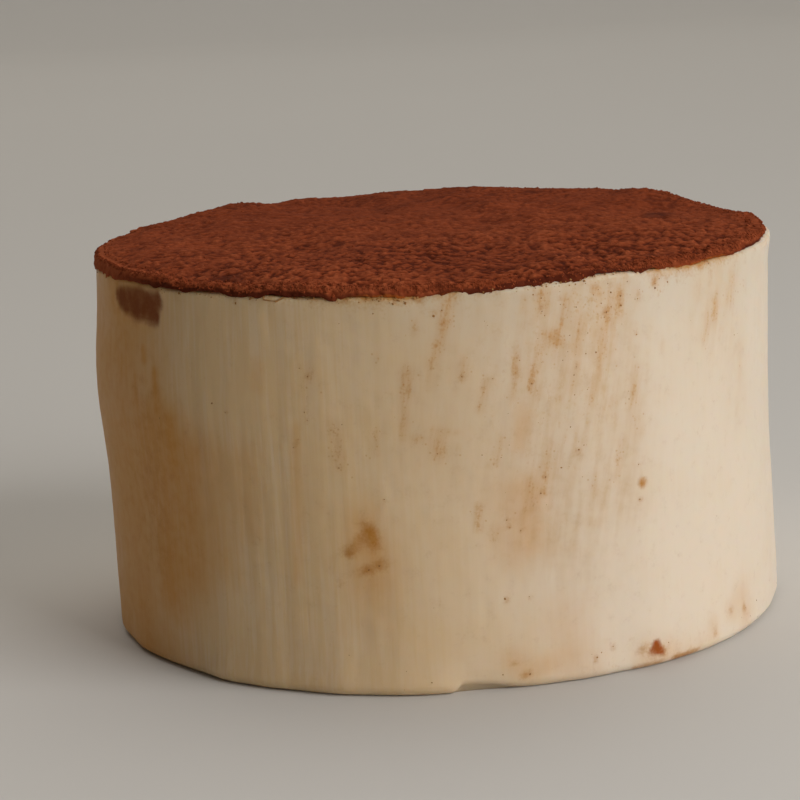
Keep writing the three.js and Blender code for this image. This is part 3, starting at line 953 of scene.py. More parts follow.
def cream_fields(rng, turn, height, below):
    """The fields that the cream carries: its tones, its marks and how thick the flecks lie."""
    rows, columns = height.shape
    wander = smooth_noise(rng, (rows, columns), (4.0, 5.0))
    ragged = np.roll(wander, (37, 211), (0, 1))
    straight = np.radians(turn)[None, :] * RADIUS
    girth = straight + 0.14 * MM * wander
    drawn = 0.2 + 0.8 * bell(turn, -36.0, 22.0) + 0.5 * bell(turn, 140.0, 30.0)
    # Painted warm shade at the left, away from the key light, with some coffee tint
    left_tint_and_shade = 0.95 * ease(-turn, 38.0, 64.0) * (1.0 - ease(-turn, 86.0, 120.0))
    tints = strokes_field(TINTS + hidden_strokes(rng, 12, 1.4, 6.0, 0.5), girth, height)
    blots = strokes_field(BLOTS + hidden_strokes(rng, 9, 0.7, 0.5, 0.8), girth, height)
    round_dots = tuple(Stroke(at, up, at, up, 0.2 + 1.4 * size, 0.50) for at, up, size in DOTS)
    blushes = BLUSHES + hidden_strokes(rng, 9, 4.5, 14.0, 0.8)
    smears = SMEARS + hidden_strokes(rng, 70, 0.45, 2.6, 0.9)
    return {
        "butter_and_shade": butter_and_shade_tone(turn, height),
        "dust_and_shade": dust_and_shade_veil(turn, height),
        "drawn": np.broadcast_to(drawn, (rows, columns)),
        "blush": strokes_field(blushes, girth, height),
        "tint": np.maximum(tints, left_tint_and_shade),
        "smear": strokes_field(smears, girth, height, widened=1.4),
        "blot": np.maximum(blots, strokes_field(round_dots, straight, height)),
        "patch": strokes_field(PATCHES, straight + 0.3 * MM * ragged, height + 0.22 * MM * wander, 2.6),
        "crumb": strokes_field(CRUMB_STAINS, straight, height),
        "zone": fleck_zone(turn[None, :], height / MM),
        "fringe": rim_fringe(turn, below),
    }


def cream_side(look, turn, heights):
    """The radius of the cream's side, felt on the solid: form, flutes that fade upwards, and a lip."""
    angles = np.linspace(-math.pi, math.pi, FELT_COLUMNS, endpoint=False)
    levels = np.linspace(heights[0], heights[-1], FELT_LEVELS)
    felt = felt_radius(feeler("cream"), angles, levels)
    broad = more_round(felt, look.columns, FORM_WAVES)
    flutes = more_round(felt, look.columns, ALL_WAVES) - broad
    felt = broad + flutes * (1.0 - 0.75 * ease(levels, 3.0 * MM, 8.0 * MM))[:, None]
    side = np.stack([np.interp(heights, levels, felt[:, c]) for c in range(look.columns)], axis=1)
    return side + 0.35 * MM * bell(turn, 86.0, 14.0) * ease(heights, RIM - 3.0 * MM, RIM)[:, None]


def cream_rings(look):
    """The cream's rings of points from base to top, its fields, and the first and last ring of the side."""
    rng = draws("cream")
    angles = np.linspace(-math.pi, math.pi, look.columns, endpoint=False)
    turn = from_front(angles)
    heights = np.linspace(look.base_round, RIM - look.rim_round, look.side_rows)
    side = cream_side(look, turn, heights) + cream_relief(look, rng, turn, heights)
    side -= look.patch_depth * strokes_field(PATCHES, np.radians(turn)[None, :] * RADIUS, heights[:, None])

    round_steps = np.linspace(-math.pi / 2, 0.0, 8)[:-1]
    base_radius = side[0] + look.base_round * (np.cos(round_steps)[:, None] - 1.0)
    base_height = np.repeat(look.base_round * (1.0 + np.sin(round_steps))[:, None], look.columns, axis=1)
    rim_steps = np.linspace(0.0, math.pi / 2, 7)[1:]
    rim_radius = side[-1] + look.rim_round * (np.cos(rim_steps)[:, None] - 1.0)
    rim_height = RIM - look.rim_round * (1.0 - np.sin(rim_steps))
    rim_height = np.repeat(rim_height[:, None], look.columns, axis=1)
    flat = np.zeros((2, look.columns))
    radius = np.concatenate([
        base_radius[0] * np.array([[0.5], [0.9]]), base_radius, side, rim_radius,
        rim_radius[-1] * np.array([[0.93], [0.6]]),
    ])
    height = np.concatenate([
        flat, base_height, np.repeat(heights[:, None], look.columns, axis=1), rim_height, flat + RIM,
    ])
    fields = cream_fields(rng, turn, height, RIM - height)
    low_edge = np.clip(1.0 - height / (4.0 * MM), 0.0, 1.0) * (height > 0.0)
    high_edge = ease(height, RIM - 6.0 * MM, RIM)
    high_edge[-1] = 0.0
    height = height + low_edge * notch_lift(look, turn) + high_edge * rim_wave(look, turn)
    points = np.stack([radius * np.cos(angles), radius * np.sin(angles), height], axis=-1)
    return points, fields, 2, len(radius) - 3


def disc_places(points, middle):
    """Places on a small disc of the cream's bake map."""
    return points[..., :2] * (DISC_REACH / RADIUS) + np.array(middle)


def cream_places(points, first, last, columns, corner_rows, corner_columns):
    """Places on the bake map: the side in three strips, base and top as small discs."""
    strip_columns = columns // STRIPS
    section = points[first:last + 1, 0]
    steps = np.linalg.norm(np.diff(section, axis=0), axis=1)
    share = np.concatenate([[0.0], np.cumsum(steps)]) / steps.sum()
    strip = corner_columns.min(axis=1) // strip_columns
    along = (corner_columns - strip[:, None] * strip_columns) / strip_columns
    up = share[np.clip(corner_rows - first, 0, last - first)]
    across = MAP_MARGIN + (1.0 - 2 * MAP_MARGIN) * along
    places = np.stack([across, MAP_MARGIN + STRIP_STEP * strip[:, None] + STRIP_TALL * up], axis=-1)
    corners = points[corner_rows, corner_columns % columns]
    under = corner_rows.max(axis=1) <= first
    over = corner_rows.min(axis=1) >= last
    places[under] = disc_places(corners[under], BASE_DISC)
    places[over] = disc_places(corners[over], TOP_DISC)
    return places


def make_cream(look):
    """The cream body: a closed mesh over the felt solid, with its relief and fields."""
    points, fields, first, last = cream_rings(look)
    rows, columns = points.shape[:2]
    corner_rows, corner_columns = ring_cells(rows, columns)
    faces = corner_rows * columns + corner_columns % columns
    places = cream_places(points, first, last, columns, corner_rows, corner_columns)
    total = rows * columns
    ring = np.arange(columns)
    under = fan(total, ring, False)
    over = fan(total + 1, (rows - 1) * columns + ring, True)
    middles = np.array([[0.0, 0.0, 0.0], [0.0, 0.0, RIM]])
    every = np.concatenate([points.reshape(-1, 3), middles])
    fields = {name: np.append(values.ravel(), (0.0, 0.0)) for name, values in fields.items()}
    under_places = disc_places(every[under], BASE_DISC)
    over_places = disc_places(every[over], TOP_DISC)
    piece = make_piece(
        "cream_body", every, np.concatenate([faces, under, over]),
        np.concatenate([places, under_places, over_places]), cream_material(look), fields,
    )
    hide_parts("cream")


def disc_grid(steps):
    """A square grid pressed into a disc: each point's share of the radius, closer together by the edge."""
    line = np.linspace(-1.0, 1.0, steps + 1)
    a, b = np.meshgrid(line, line)
    wide = np.abs(a) >= np.abs(b)
    long = np.where(wide, a, b)
    short = np.where(wide, b, a)
    slope = np.divide(short, long, out=np.zeros_like(long), where=long != 0.0) * (math.pi / 4)
    angle = np.where(wide, slope, math.pi / 2 - slope)
    x = long * np.cos(angle)
    y = long * np.sin(angle)
    share = np.hypot(x, y)
    return share * (1.25 - 0.25 * share**2), np.arctan2(y, x)


def grid_border(steps):
    """The border of a square grid's points, once round against the clock."""
    index = np.arange((steps + 1) ** 2).reshape(steps + 1, steps + 1)
    return np.concatenate([index[0, :-1], index[:-1, -1], index[-1, :0:-1], index[:0:-1, 0]])


def grid_faces(steps):
    """Two triangles for each cell of a square grid, split towards its middle."""
    row, column = np.meshgrid(np.arange(steps), np.arange(steps), indexing="ij")
    first = (row * (steps + 1) + column).reshape(-1, 1, 1)
    leaning = ((row - (steps - 1) / 2) * (column - (steps - 1) / 2) < 0.0).reshape(-1, 1, 1)
    rising = np.array([[0, 1, steps + 2], [0, steps + 2, steps + 1]])
    falling = np.array([[0, 1, steps + 1], [1, steps + 2, steps + 1]])
    return (first + np.where(leaning, falling, rising)).reshape(-1, 3)


def cocoa_heights(tree, x, y):
    """The cocoa solid's top at each point, smoothed between the points of a coarse grid."""
    reach = 1.1 * RADIUS
    line = np.linspace(-reach, reach, 121)
    gx, gy = np.meshgrid(line, line)
    top = felt_top(tree, gx, gy)
    for _ in range(12):
        padded = np.pad(top, 1, mode="edge")
        near = np.stack([padded[1:-1, 2:], padded[1:-1, :-2], padded[2:, 1:-1], padded[:-2, 1:-1]])
        bare = np.isnan(top)
        filled = np.isfinite(near).any(axis=0) & bare
        top[filled] = np.nanmean(near[:, filled], axis=0)
    top = np.nan_to_num(top, nan=RIM)
    step = line[1] - line[0]
    last = len(line) - 1.001
    return between_cells(top, np.clip((x + reach) / step, 0, last), np.clip((y + reach) / step, 0, last))


def top_shade(x, y):
    """Painted shade and light on the powder's top, against how the key light falls: darker at the back, the
    front's middle and the front's right, paler at the front's left and the left edge.
    """
    shade = 0.32 * ease(y, -12.0 * MM, 28.0 * MM)
    shade += 0.06 * bell(y, -14.0 * MM, 12.0 * MM) + 0.14 * bell(y, -28.0 * MM, 9.0 * MM)
    shade += 0.32 * bell(x, 1.0 * MM, 13.0 * MM) * bell(y, -25.0 * MM, 9.0 * MM)
    shade += ease(-y, 24.0 * MM, 38.0 * MM) * (0.5 * ease(x, -16.0 * MM, 14.0 * MM) - 0.4)
    edge = ease(np.hypot(x, y), 0.88 * RADIUS, 0.97 * RADIUS)
    return shade - 0.3 * edge * ease(-x, 8.0 * MM, 22.0 * MM)


def cocoa_bed(look, rng):
    """A function for the powder's relief, and its painted shade in the pits and painted light on the
    clumps, at places on the top.
    """
    span = 128 * MM
    cells = 1024

    def noise(size):
        return smooth_noise(rng, (cells, cells), (size / span * cells,) * 2)

    lump = noise(1.4 * MM)
    wide = noise(4.0 * MM)
    fine = noise(0.17 * MM)
    push_x = noise(0.45 * MM)
    push_y = noise(0.45 * MM)
    seeds = rng.integers(1, 1000, 2)

    def bed(x, y):
        broken_x = x + 0.12 * MM * sample(push_x, x, y, span)
        broken_y = y + 0.12 * MM * sample(push_y, x, y, span)
        relief = look.lump * (0.6 * sample(lump, x, y, span) + 0.5 * sample(wide, x, y, span))
        big = clumps(np.random.default_rng(seeds[0]), broken_x, broken_y, 0.95 * MM) - 0.55
        small = clumps(np.random.default_rng(seeds[1]), broken_x, broken_y, 0.55 * MM) - 0.55
        grainy = 2.0 * big + 1.3 * small + 0.55 * sample(fine, x, y, span)
        near = ease(-y, -24.0 * MM, 32.0 * MM)
        loose = 0.75 + 0.4 * ease(sample(wide, y, x, span), -0.8, 1.0)
        # Painted shade in the hollows between clumps, painted light on their tops
        pit = ease(-grainy * loose, -0.1, 1.2) - 0.6 * ease(grainy * loose, 0.1, 1.0)
        pit = pit * (0.38 + 0.62 * near) + top_shade(x, y)
        return relief + look.grain * loose * (0.8 + 0.5 * near) * grainy, pit

    return bed


def cocoa_hem(look, rng, turn):
    """The height of the cocoa's ragged lower edge at each degree from the front."""
    waves = 0.55 * ring_noise(rng, len(turn), 9) + 0.45 * ring_noise(rng, len(turn), 3)
    bare_lip = ease(turn, 55.0, 75.0) * (1.0 - ease(turn, 100.0, 120.0))
    waves += 0.6 * bell(turn, 29.0, 9.0) * ring_noise(rng, len(turn), 2)
    hang = look.hem * np.clip(0.5 + waves, -0.2, 2.2) * (1.0 - bare_lip)
    return RIM + hem_line(turn) + 0.1 * MM - hang


def edge_tones(turn, depth):
    """How rusty the cocoa's edge is and how dark with painted shade under its overhang, at each share of
    its depth, and where at the left it gets painted light.
    """
    moist = 0.15 + 0.85 * np.maximum(bell(turn, -5.0, 9.0), bell(turn, 47.0, 13.0))
    moist = np.maximum(moist, ease(np.abs(turn), 90.0, 110.0) * (0.6 + 0.4 * np.sin(np.radians(9 * turn))))
    # Painted light on the left of the edge, away from the key light
    painted_light_left = ease(-turn, 46.0, 64.0) * (1.0 - ease(-turn, 110.0, 130.0))
    start = 0.68 - 0.2 * bell(turn, -38.0, 24.0) - 0.5 * bell(turn, 21.0, 16.0)
    dark = 1.15 * (1.0 - 0.6 * moist) * (1.0 - 0.8 * painted_light_left)
    rusty = [ease(share, 0.6, 1.0) * moist for share in depth]
    return rusty, [dark * ease(share, start, start + 0.28) for share in depth], painted_light_left


def cocoa_skirt(look, bed, angle, edge, top, hem):
    """Rings from the top's border over the rounded edge to the hem: how pitted, rusty and dark with painted
    shade each is, and paler with painted light at the left.
    """
    turn = from_front(angle)
    sharp = np.maximum(bell(turn, 90.0, 30.0), 0.85 * bell(turn, -72.0, 26.0))
    wide = look.edge_round * (1.0 - 0.6 * sharp)
    tall = top - hem
    far = edge - wide
    last = far, top
    rings = []
    pits = []
    depth = []
    for step in np.linspace(0.0, 1.0, look.edge_rows + 1)[1:]:
        lean = step * math.pi / 2
        out = edge - wide * (1.0 - math.sin(lean))
        up = top - tall * (1.0 - math.cos(lean))
        far = far + np.hypot(out - last[0], up - last[1])
        last = out, up
        rough, pit = bed(far * np.cos(angle), far * np.sin(angle))
        steep = np.arctan2(tall * math.sin(lean), wide * math.cos(lean))
        rough = rough * (1.0 - 0.35 * step)
        rings.append((out + np.sin(steep) * rough, up + np.cos(steep) * rough))
        # Painted light on the upper edge, most at the front left, which is turned from the key light
        pale = (0.3 + 0.3 * bell(turn, -30.0, 22.0)) * (1.0 - bell(turn, 21.0, 16.0))
        pale = pale * (1.0 - ease(step, 0.5, 0.85))
        pits.append(pit * (1.0 - 0.5 * ease(step, 0.3, 0.8)) - pale)
        depth.append(step)
    rings.append((edge - 0.6 * MM, hem + 0.1 * MM))
    pits.append(pits[-1])
    depth.append(1.0)
    points = [np.stack([out * np.cos(angle), out * np.sin(angle), up], axis=-1) for out, up in rings]
    rusty, shaded, painted_light_left = edge_tones(turn, depth)
    return points, [pit - 0.6 * painted_light_left for pit in pits], rusty, shaded


def cocoa_outline(rng, tree, turn):
    """The cocoa's radius at its edge, felt on the solid, a little rough and pushed out at both sides."""
    angles = np.linspace(-math.pi, math.pi, FELT_COLUMNS, endpoint=False)
    outline = more_round(felt_radius(tree, angles, [RIM + 0.45 * MM]), EDGE_STEPS, ALL_WAVES)[0]
    outline += 0.05 * MM * ring_noise(rng, EDGE_STEPS, 9) + 0.03 * MM * ring_noise(rng, EDGE_STEPS, 2.5)
    return outline + (0.18 * MM * bell(turn, -88.0, 32.0) + 0.45 * MM * bell(turn, 86.0, 16.0))


def cocoa_top(tree, x, y, share, turn, least):
    """The height of the cocoa's top: felt on the solid, full by the edge, and swollen or sunk there."""
    top = cocoa_heights(tree, x, y)
    top += ease(share, 0.8, 1.0) * np.clip(least - top, 0.0, None)
    top += ease(share, 0.6, 1.0) * bells(turn, TOP_SWELLS) * MM
    return top - ease(share, 0.78, 1.0) * bells(turn, TOP_SINKS) * MM


def make_cocoa(look):
    """The cocoa layer: a granular top, a rounded rough edge and a ragged hem over the cream's rim."""
    rng = draws("cocoa")
    tree = feeler("cocoa")
    bed = cocoa_bed(look, rng)
    share, angle = disc_grid(look.steps)
    border = grid_border(look.steps)
    border_angle = angle.ravel()[border]
    around = np.linspace(-math.pi, math.pi, EDGE_STEPS, endpoint=False)
    turn = from_front(around)
    outline = cocoa_outline(rng, tree, turn)
    hem = cocoa_hem(look, rng, turn)
    full = 0.45 + 0.4 * bell(turn, 85.0, 22.0)
    least = RIM + hem_line(turn) + full * MM

    def read(values, where):
        return np.interp(where, around, values, period=2 * math.pi)

    radius = share * (read(outline, angle) - look.edge_round)
    x = radius * np.cos(angle)
    y = radius * np.sin(angle)
    top = cocoa_top(tree, x, y, share, from_front(angle), read(least, angle))
    rough, pit = bed(x, y)
    disc = np.stack([x, y, top + rough], axis=-1).reshape(-1, 3)
    damp = sum(wet * bell(np.hypot(x - px * MM, y - py * MM), 0.0, 3.0 * MM) for px, py, wet in DAMP_SPOTS)
    skirt, pits, rusty, shaded = cocoa_skirt(
        look, bed, border_angle, read(outline, border_angle), top.ravel()[border], read(hem, border_angle),
    )
    points = np.concatenate([disc, *skirt, [[0.0, 0.0, RIM + 0.1 * MM]]])
    fields = {
        "pit": np.concatenate([pit.ravel(), *pits, [1.0]]),
        # Damp spots on the top, and round the edge the painted shade under the overhang
        "damp": np.concatenate([damp.ravel(), *shaded, [1.0]]),
        "hem": np.concatenate([np.zeros(len(disc)), *rusty, [1.0]]),
    }

    steps = look.steps
    faces = grid_faces(steps)
    grid = np.stack([faces % (steps + 1), faces // (steps + 1)], axis=-1) / steps
    places = 0.004 + 0.925 * grid

    ring = len(border)
    loops = np.concatenate([border[None], len(disc) + np.arange(len(skirt) * ring).reshape(-1, ring)])
    corner_rows, corner_columns = ring_cells(len(loops), ring)
    side_faces = loops[corner_rows, corner_columns % ring][:, ::-1]
    side = corner_columns.min(axis=1) // steps
    along = (corner_columns - side[:, None] * steps) / steps
    up = 0.935 + 0.016 * side[:, None] + 0.015 * corner_rows / len(skirt)
    side_places = np.stack([0.005 + 0.92 * along, up], axis=-1)[:, ::-1]
    under = fan(len(points) - 1, loops[-1], False)
    under_places = 0.02 * points[under][..., :2] / RADIUS + np.array([0.965, 0.965])
    piece = make_piece(
        "cocoa_layer", points, np.concatenate([faces, side_faces, under]),
        np.concatenate([places, side_places, under_places]),
        layer_cocoa(look), fields,
    )
    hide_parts("cocoa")


def ball(rounds):
    """The points and faces of a small ball: a twenty-sided one, halved so many times."""
    golden = (1 + math.sqrt(5)) / 2
    points = []
    for a in (-1.0, 1.0):
        for b in (-golden, golden):
            points += [(0.0, a, b), (a, b, 0.0), (b, 0.0, a)]
    points = [Vector(point).normalized() for point in points]
    faces = []
    for i in range(12):
        for j in range(i + 1, 12):
            for k in range(j + 1, 12):
                p, q, r = points[i], points[j], points[k]
                if max((p - q).length, (q - r).length, (r - p).length) < 1.06:
                    faces.append((i, j, k) if (q - p).cross(r - p).dot(p) > 0 else (i, k, j))
    for _ in range(rounds):
        halves = {}
        finer = []
        for face in faces:
            middles = []
            for pair in zip(face, face[1:] + face[:1]):
                key = tuple(sorted(pair))
                if key not in halves:
                    halves[key] = len(points)
                    points.append((points[pair[0]] + points[pair[1]]).normalized())
                middles.append(halves[key])
            (i, j, k), (ij, jk, ki) = face, middles
            finer += [(i, ij, ki), (ij, j, jk), (ki, jk, k), (ij, jk, ki)]
        faces = finer
    return np.array(points), np.array(faces)


def random_turns(rng, number):
    """Random rotations as matrices."""
    q = rng.standard_normal((number, 4))
    q /= np.linalg.norm(q, axis=1, keepdims=True)
    w, x, y, z = q.T
    return np.stack([
        np.stack([1 - 2 * (y * y + z * z), 2 * (x * y - z * w), 2 * (x * z + y * w)], axis=-1),
        np.stack([2 * (x * y + z * w), 1 - 2 * (x * x + z * z), 2 * (y * z - x * w)], axis=-1),
        np.stack([2 * (x * z - y * w), 2 * (y * z + x * w), 1 - 2 * (x * x + y * y)], axis=-1),
    ], axis=1)


def make_crumbs(name, material, rng, places, normals, sizes, flat, sunk, rounds=0):
    """Small uneven crumbs on a surface, joined into one mesh: flat presses them down, sunk buries them."""
    round_points, round_faces = ball(rounds)
    number = len(places)
    waves = rng.standard_normal((number, 3, 3)) * 1.7
    shift = rng.uniform(0.0, 2 * math.pi, (number, 3, 1))
    uneven = np.sin(np.einsum("nwj,kj->nwk", waves, round_points) + shift).sum(axis=1)
    shaped = round_points[None] * (1.0 + 0.2 * uneven[..., None]) * rng.uniform(0.75, 1.25, (number, 1, 3))
    spot = 0.5 + 0.4 * np.clip(shaped[..., :2] / 1.8, -1.0, 1.0)
    shaped = np.einsum("nij,nkj->nki", random_turns(rng, number), shaped) * sizes[:, None, None]
    out = np.einsum("nkj,nj->nk", shaped, normals)
    shaped -= (1.0 - flat) * out[..., None] * normals[:, None, :]
    points = places[:, None, :] + shaped + (sizes * (flat - sunk))[:, None, None] * normals[:, None, :]
    faces = round_faces[None] + len(round_points) * np.arange(number)[:, None, None]
    cells = math.ceil(math.sqrt(number))
    cell = np.stack([np.arange(number) % cells, np.arange(number) // cells], axis=-1)
    maps = ((cell[:, None, :] + spot) / cells)[np.arange(number)[:, None, None], round_faces[None]]
    return make_piece(
        name, points.reshape(-1, 3), faces.reshape(-1, 3), maps.reshape(-1, 3, 2), material,
        smooth=rounds > 0,
    )


def crumb_sizes(rng, number, usual, spread):
    """Radii of crumbs about a usual size, with a few large ones."""
    return usual * np.exp(spread * rng.standard_normal(number)).clip(0.4, 2.4)


def side_spots(cream, turns, heights):
    """The points on the cream's side nearest to places in degrees and millimetres, and their normals."""
    points, normals, turn, out = surface(cream)
    outside = out > 0.93 * RADIUS
    chosen = []
    for want, height in zip(turns, heights):
        gap = np.radians((turn - want + 180.0) % 360.0 - 180.0) * RADIUS
        away = np.hypot(gap, points[:, 2] - height * MM) + 1.0 * ~outside
        chosen.append(int(away.argmin()))
    return points[chosen], normals[chosen]


def make_grains(look, cocoa_look, cocoa):
    """Loose grains over the cocoa's top, and more of them packed along its edge."""
    rng = draws("grains")
    points, normals, turn, out = surface(cocoa)
    open_air = (points[:, 2] > RIM) & (normals[:, 2] > 0.5)
    front = 0.3 + 0.7 * ease(-points[:, 1], 0.0, 0.8 * RADIUS)
    edge = open_air * front * ease(out, 0.92 * RADIUS, 0.99 * RADIUS)
    edge *= 1.0 - 0.85 * bell(turn, 21.0, 16.0)
    kinds = (
        ("cocoa_grains", open_air * front, look.grains, look.grain_size),
        ("cocoa_edge_grains", edge, look.edge_grains, look.edge_grain_size),
    )
    for name, chance, number, usual in kinds:
        chosen = rng.choice(len(points), number, replace=False, p=chance / chance.sum())
        sizes = crumb_sizes(rng, number, usual, 0.38)
        material = loose_cocoa(cocoa_look)
        make_crumbs(name, material, rng, points[chosen], normals[chosen], sizes, flat=0.6, sunk=0.35)


def make_rim_crumbs(look, cocoa_look, cream):
    """Crumbs that cling to the cream just under the cocoa."""
    rng = draws("rim crumbs")
    points, normals, turn, out = surface(cream)
    below = RIM + hem_line(turn) - points[:, 2]
    side = out > 0.975 * RADIUS
    steps = 720
    around = ((turn + 180) * (steps // 360)).astype(int) % steps
    patchy = 0.35 + ring_noise(rng, steps, 5)[around].clip(0, None)
    chance = side * patchy * np.exp(-np.abs(below) / (0.25 * MM)) * (below > -0.6 * MM)
    chance = chance * (1.0 - ease(turn, 36.0, 52.0) * (1.0 - ease(turn, 112.0, 130.0)))
    chosen = rng.choice(len(points), look.rim_crumbs, replace=False, p=chance / chance.sum())
    sizes = crumb_sizes(rng, look.rim_crumbs, look.rim_crumb_size, 0.4)
    shift = rng.normal(0.0, 0.1 * MM, (look.rim_crumbs, 3))
    shift -= (shift * normals[chosen]).sum(axis=1, keepdims=True) * normals[chosen]
    places = points[chosen] + shift
    material = speck_cocoa(cocoa_look)
    make_crumbs("cocoa_rim_crumbs", material, rng, places, normals[chosen], sizes, flat=0.6, sunk=0.25)


def make_specks(look, cocoa_look, cream):
    """Specks of cocoa stuck to the cream's side: those that show singly, and many tiny ones."""
    rng = draws("specks")
    points, normals, turn, _ = surface(cream)
    height = points[:, 2] / MM
    side = (np.abs(normals[:, 2]) < 0.5) & (height > 0.8)
    chance = fleck_zone(turn, height) * side
    chosen = rng.choice(len(points), look.specks, replace=False, p=chance / chance.sum())
    sizes = crumb_sizes(rng, look.specks, look.speck_size, 0.4)
    dots = np.array(DOTS)
    dot_points, dot_normals = side_spots(cream, dots[:, 0], dots[:, 1])
    places = np.concatenate([points[chosen], dot_points])
    outward = np.concatenate([normals[chosen], dot_normals])
    sizes = np.concatenate([sizes, 0.85 * dots[:, 2] * MM])
    material = speck_cocoa(cocoa_look)
    make_crumbs("cocoa_specks", material, rng, places, outward, sizes, flat=0.32, sunk=0.12)


def make_base_crumbs(cocoa_look, cream):
    """Coffee-soaked crumbs pressed into the cream by the base."""
    rng = draws("base crumbs")
    turns, heights, sizes = np.array(BASE_CRUMBS).T
    points, normals = side_spots(cream, turns, heights)
    material = crumb_material(cocoa_look)
    make_crumbs("soaked_crumbs", material, rng, points, normals, sizes * MM, flat=0.22, sunk=0.12, rounds=2)


def strand_paths(look, steps):
    """Degrees and millimetres along each strand: those that show singly, and more round the rim."""
    rng = draws("strands")
    along = np.linspace(0.0, 1.0, steps)
    paths = []
    for strand in STRANDS:
        turns, heights = np.array(strand).T
        share = np.linspace(0.0, 1.0, len(strand))
        paths.append((np.interp(along, share, turns), np.interp(along, share, heights)))
    for _ in range(look.strands):
        turn = rng.uniform(95.0, 265.0)
        reach = rng.uniform(0.4, 1.0)
        sway = 0.18 * np.sin(along * rng.uniform(3.0, 6.0) + rng.uniform(0.0, 6.0))
        turns = turn + np.degrees((rng.uniform(-1.2, 1.2) * reach * along + sway) * MM / RADIUS)
        paths.append((turns, (RIM + hem_line(turn)) / MM + 0.05 - 0.75 * reach * along))
    return paths


def make_strands(look, cocoa_look, cream):
    """Fine curled strands of damp cocoa that hang from the rim."""
    steps = 9
    corners = 5
    around = np.linspace(0.0, 2 * math.pi, corners, endpoint=False)[None, :, None]
    along = np.linspace(0.0, 1.0, steps)
    corner_rows, corner_columns = ring_cells(steps, corners)
    last = (steps - 1) * corners
    ends = [[0, k + 1, k] for k in range(1, corners - 1)]
    ends += [[last, last + k, last + k + 1] for k in range(1, corners - 1)]
    tube = np.concatenate([(corner_rows * corners + corner_columns % corners)[:, ::-1], ends])
    points = []
    for turns, heights in strand_paths(look, steps):
        spots = side_spots(cream, turns, heights)[0]
        out = np.hypot(spots[:, 0], spots[:, 1]) + 0.05 * MM * (1.0 + np.sin(along * math.pi))
        angle = np.radians(turns) + FRONT
        radial = np.stack([np.cos(angle), np.sin(angle), np.zeros(steps)], axis=-1)
        middle = radial * out[:, None]
        middle[:, 2] = heights * MM
        across = np.cross(radial, np.gradient(middle, axis=0))
        across /= np.linalg.norm(across, axis=1, keepdims=True)
        ring = radial[:, None] * np.cos(around) + across[:, None] * np.sin(around)
        thick = look.strand_size / 2 * (1.0 - 0.6 * along)
        points.append((middle[:, None] + ring * thick[:, None, None]).reshape(-1, 3))
    each = steps * corners
    faces = (tube[None] + each * np.arange(len(points))[:, None, None]).reshape(-1, 3)
    spots = np.arange(each * len(points))
    maps = np.stack([(spots % each) / each, (spots // each) / len(points)], axis=-1)[faces]
    make_piece("cocoa_strands", np.concatenate(points), faces, maps, speck_cocoa(cocoa_look))


# Stage


def make_floor(look):
    """A wide pale floor at the level of the base, swept up behind so that no edge shows."""
    half = look.floor_size / 2
    lean = np.linspace(0.0, math.pi / 2, 17)
    depth = FLOOR_BACK + np.concatenate([[-half - FLOOR_BACK], FLOOR_BEND * np.sin(lean), [FLOOR_BEND]])
    rise = FLOOR_BEND * np.concatenate([[0.0], 1.0 - np.cos(lean), [2.0]])
    corners = [(x, y, z) for y, z in zip(depth, rise) for x in (-half, half)]
    faces = [(2 * k, 2 * k + 1, 2 * k + 3, 2 * k + 2) for k in range(len(depth) - 1)]
    mesh = bpy.data.meshes.new("floor")
    mesh.from_pydata(corners, [], faces)
    mesh.shade_smooth()
    mesh.materials.append(floor_material(look))
    floor = bpy.data.objects.new("floor", mesh)
    bpy.context.scene.collection.objects.link(floor)
    floor.location.z = -0.02 * MM


def make_lamp(name, place, size, power, tint):
    """A soft square lamp that faces the dessert."""
    data = bpy.data.lights.new(name, "AREA")
    data.size = size
    data.energy = power
    data.color = tint
    lamp = bpy.data.objects.new(name, data)
    bpy.context.scene.collection.objects.link(lamp)
    lamp.location = place
    aim = Vector((0.0, 0.0, RIM / 2)) - Vector(place)
    lamp.rotation_euler = aim.to_track_quat("-Z", "Y").to_euler()


def make_lights():
    """A broad key from the right, a weak warm fill from the left and a wide light over the floor behind."""
    for name, lamp in LAMPS.items():
        make_lamp(name, *lamp)
    world = bpy.data.worlds.new("studio")
    world.use_nodes = True
    back = world.node_tree.nodes["Background"].inputs
    back["Color"].default_value = SKY
    back["Strength"].default_value = SKY_STRENGTH
    bpy.context.scene.world = world


def make_camera(look):
    """The camera where the photo was taken from, aimed left of the axis as the photo is."""
    back = Vector((0.0, -math.cos(look.elevation), math.sin(look.elevation)))
    data = bpy.data.cameras.new("camera")
    data.lens = look.lens
    data.sensor_width = CAMERA_SENSOR
    data.clip_start = 0.01
    camera = bpy.data.objects.new("camera", data)
    bpy.context.scene.collection.objects.link(camera)
    camera.location = CAMERA_PIVOT + back * look.distance
    aim = CAMERA_AIM - camera.location
    camera.rotation_mode = "QUATERNION"
    camera.rotation_quaternion = aim.to_track_quat("-Z", "Y") @ Quaternion((0.0, 0.0, 1.0), look.roll)
    bpy.context.scene.camera = camera
    bpy.context.scene.view_settings.view_transform = "Standard"


# Operators and panel


class TIRAMISU_OT_cream(Operator):
    """Make the cream body over its solid"""

    bl_idname = "tiramisu.cream"
    bl_label = "Cream"

    def execute(self, context):
        make_cream(context.scene.tiramisu_cream)
        return {"FINISHED"}


class TIRAMISU_OT_cocoa(Operator):
    """Make the cocoa layer over its solid"""

    bl_idname = "tiramisu.cocoa"
    bl_label = "Cocoa"

    def execute(self, context):
        make_cocoa(context.scene.tiramisu_cocoa)
        return {"FINISHED"}


class TIRAMISU_OT_grains(Operator):
    """Scatter loose grains over the cocoa and along its edge"""

    bl_idname = "tiramisu.grains"
    bl_label = "Grains"

    def execute(self, context):
        scene = context.scene
        make_grains(scene.tiramisu_crumbs, scene.tiramisu_cocoa, bpy.data.objects["cocoa_layer"])
        return {"FINISHED"}


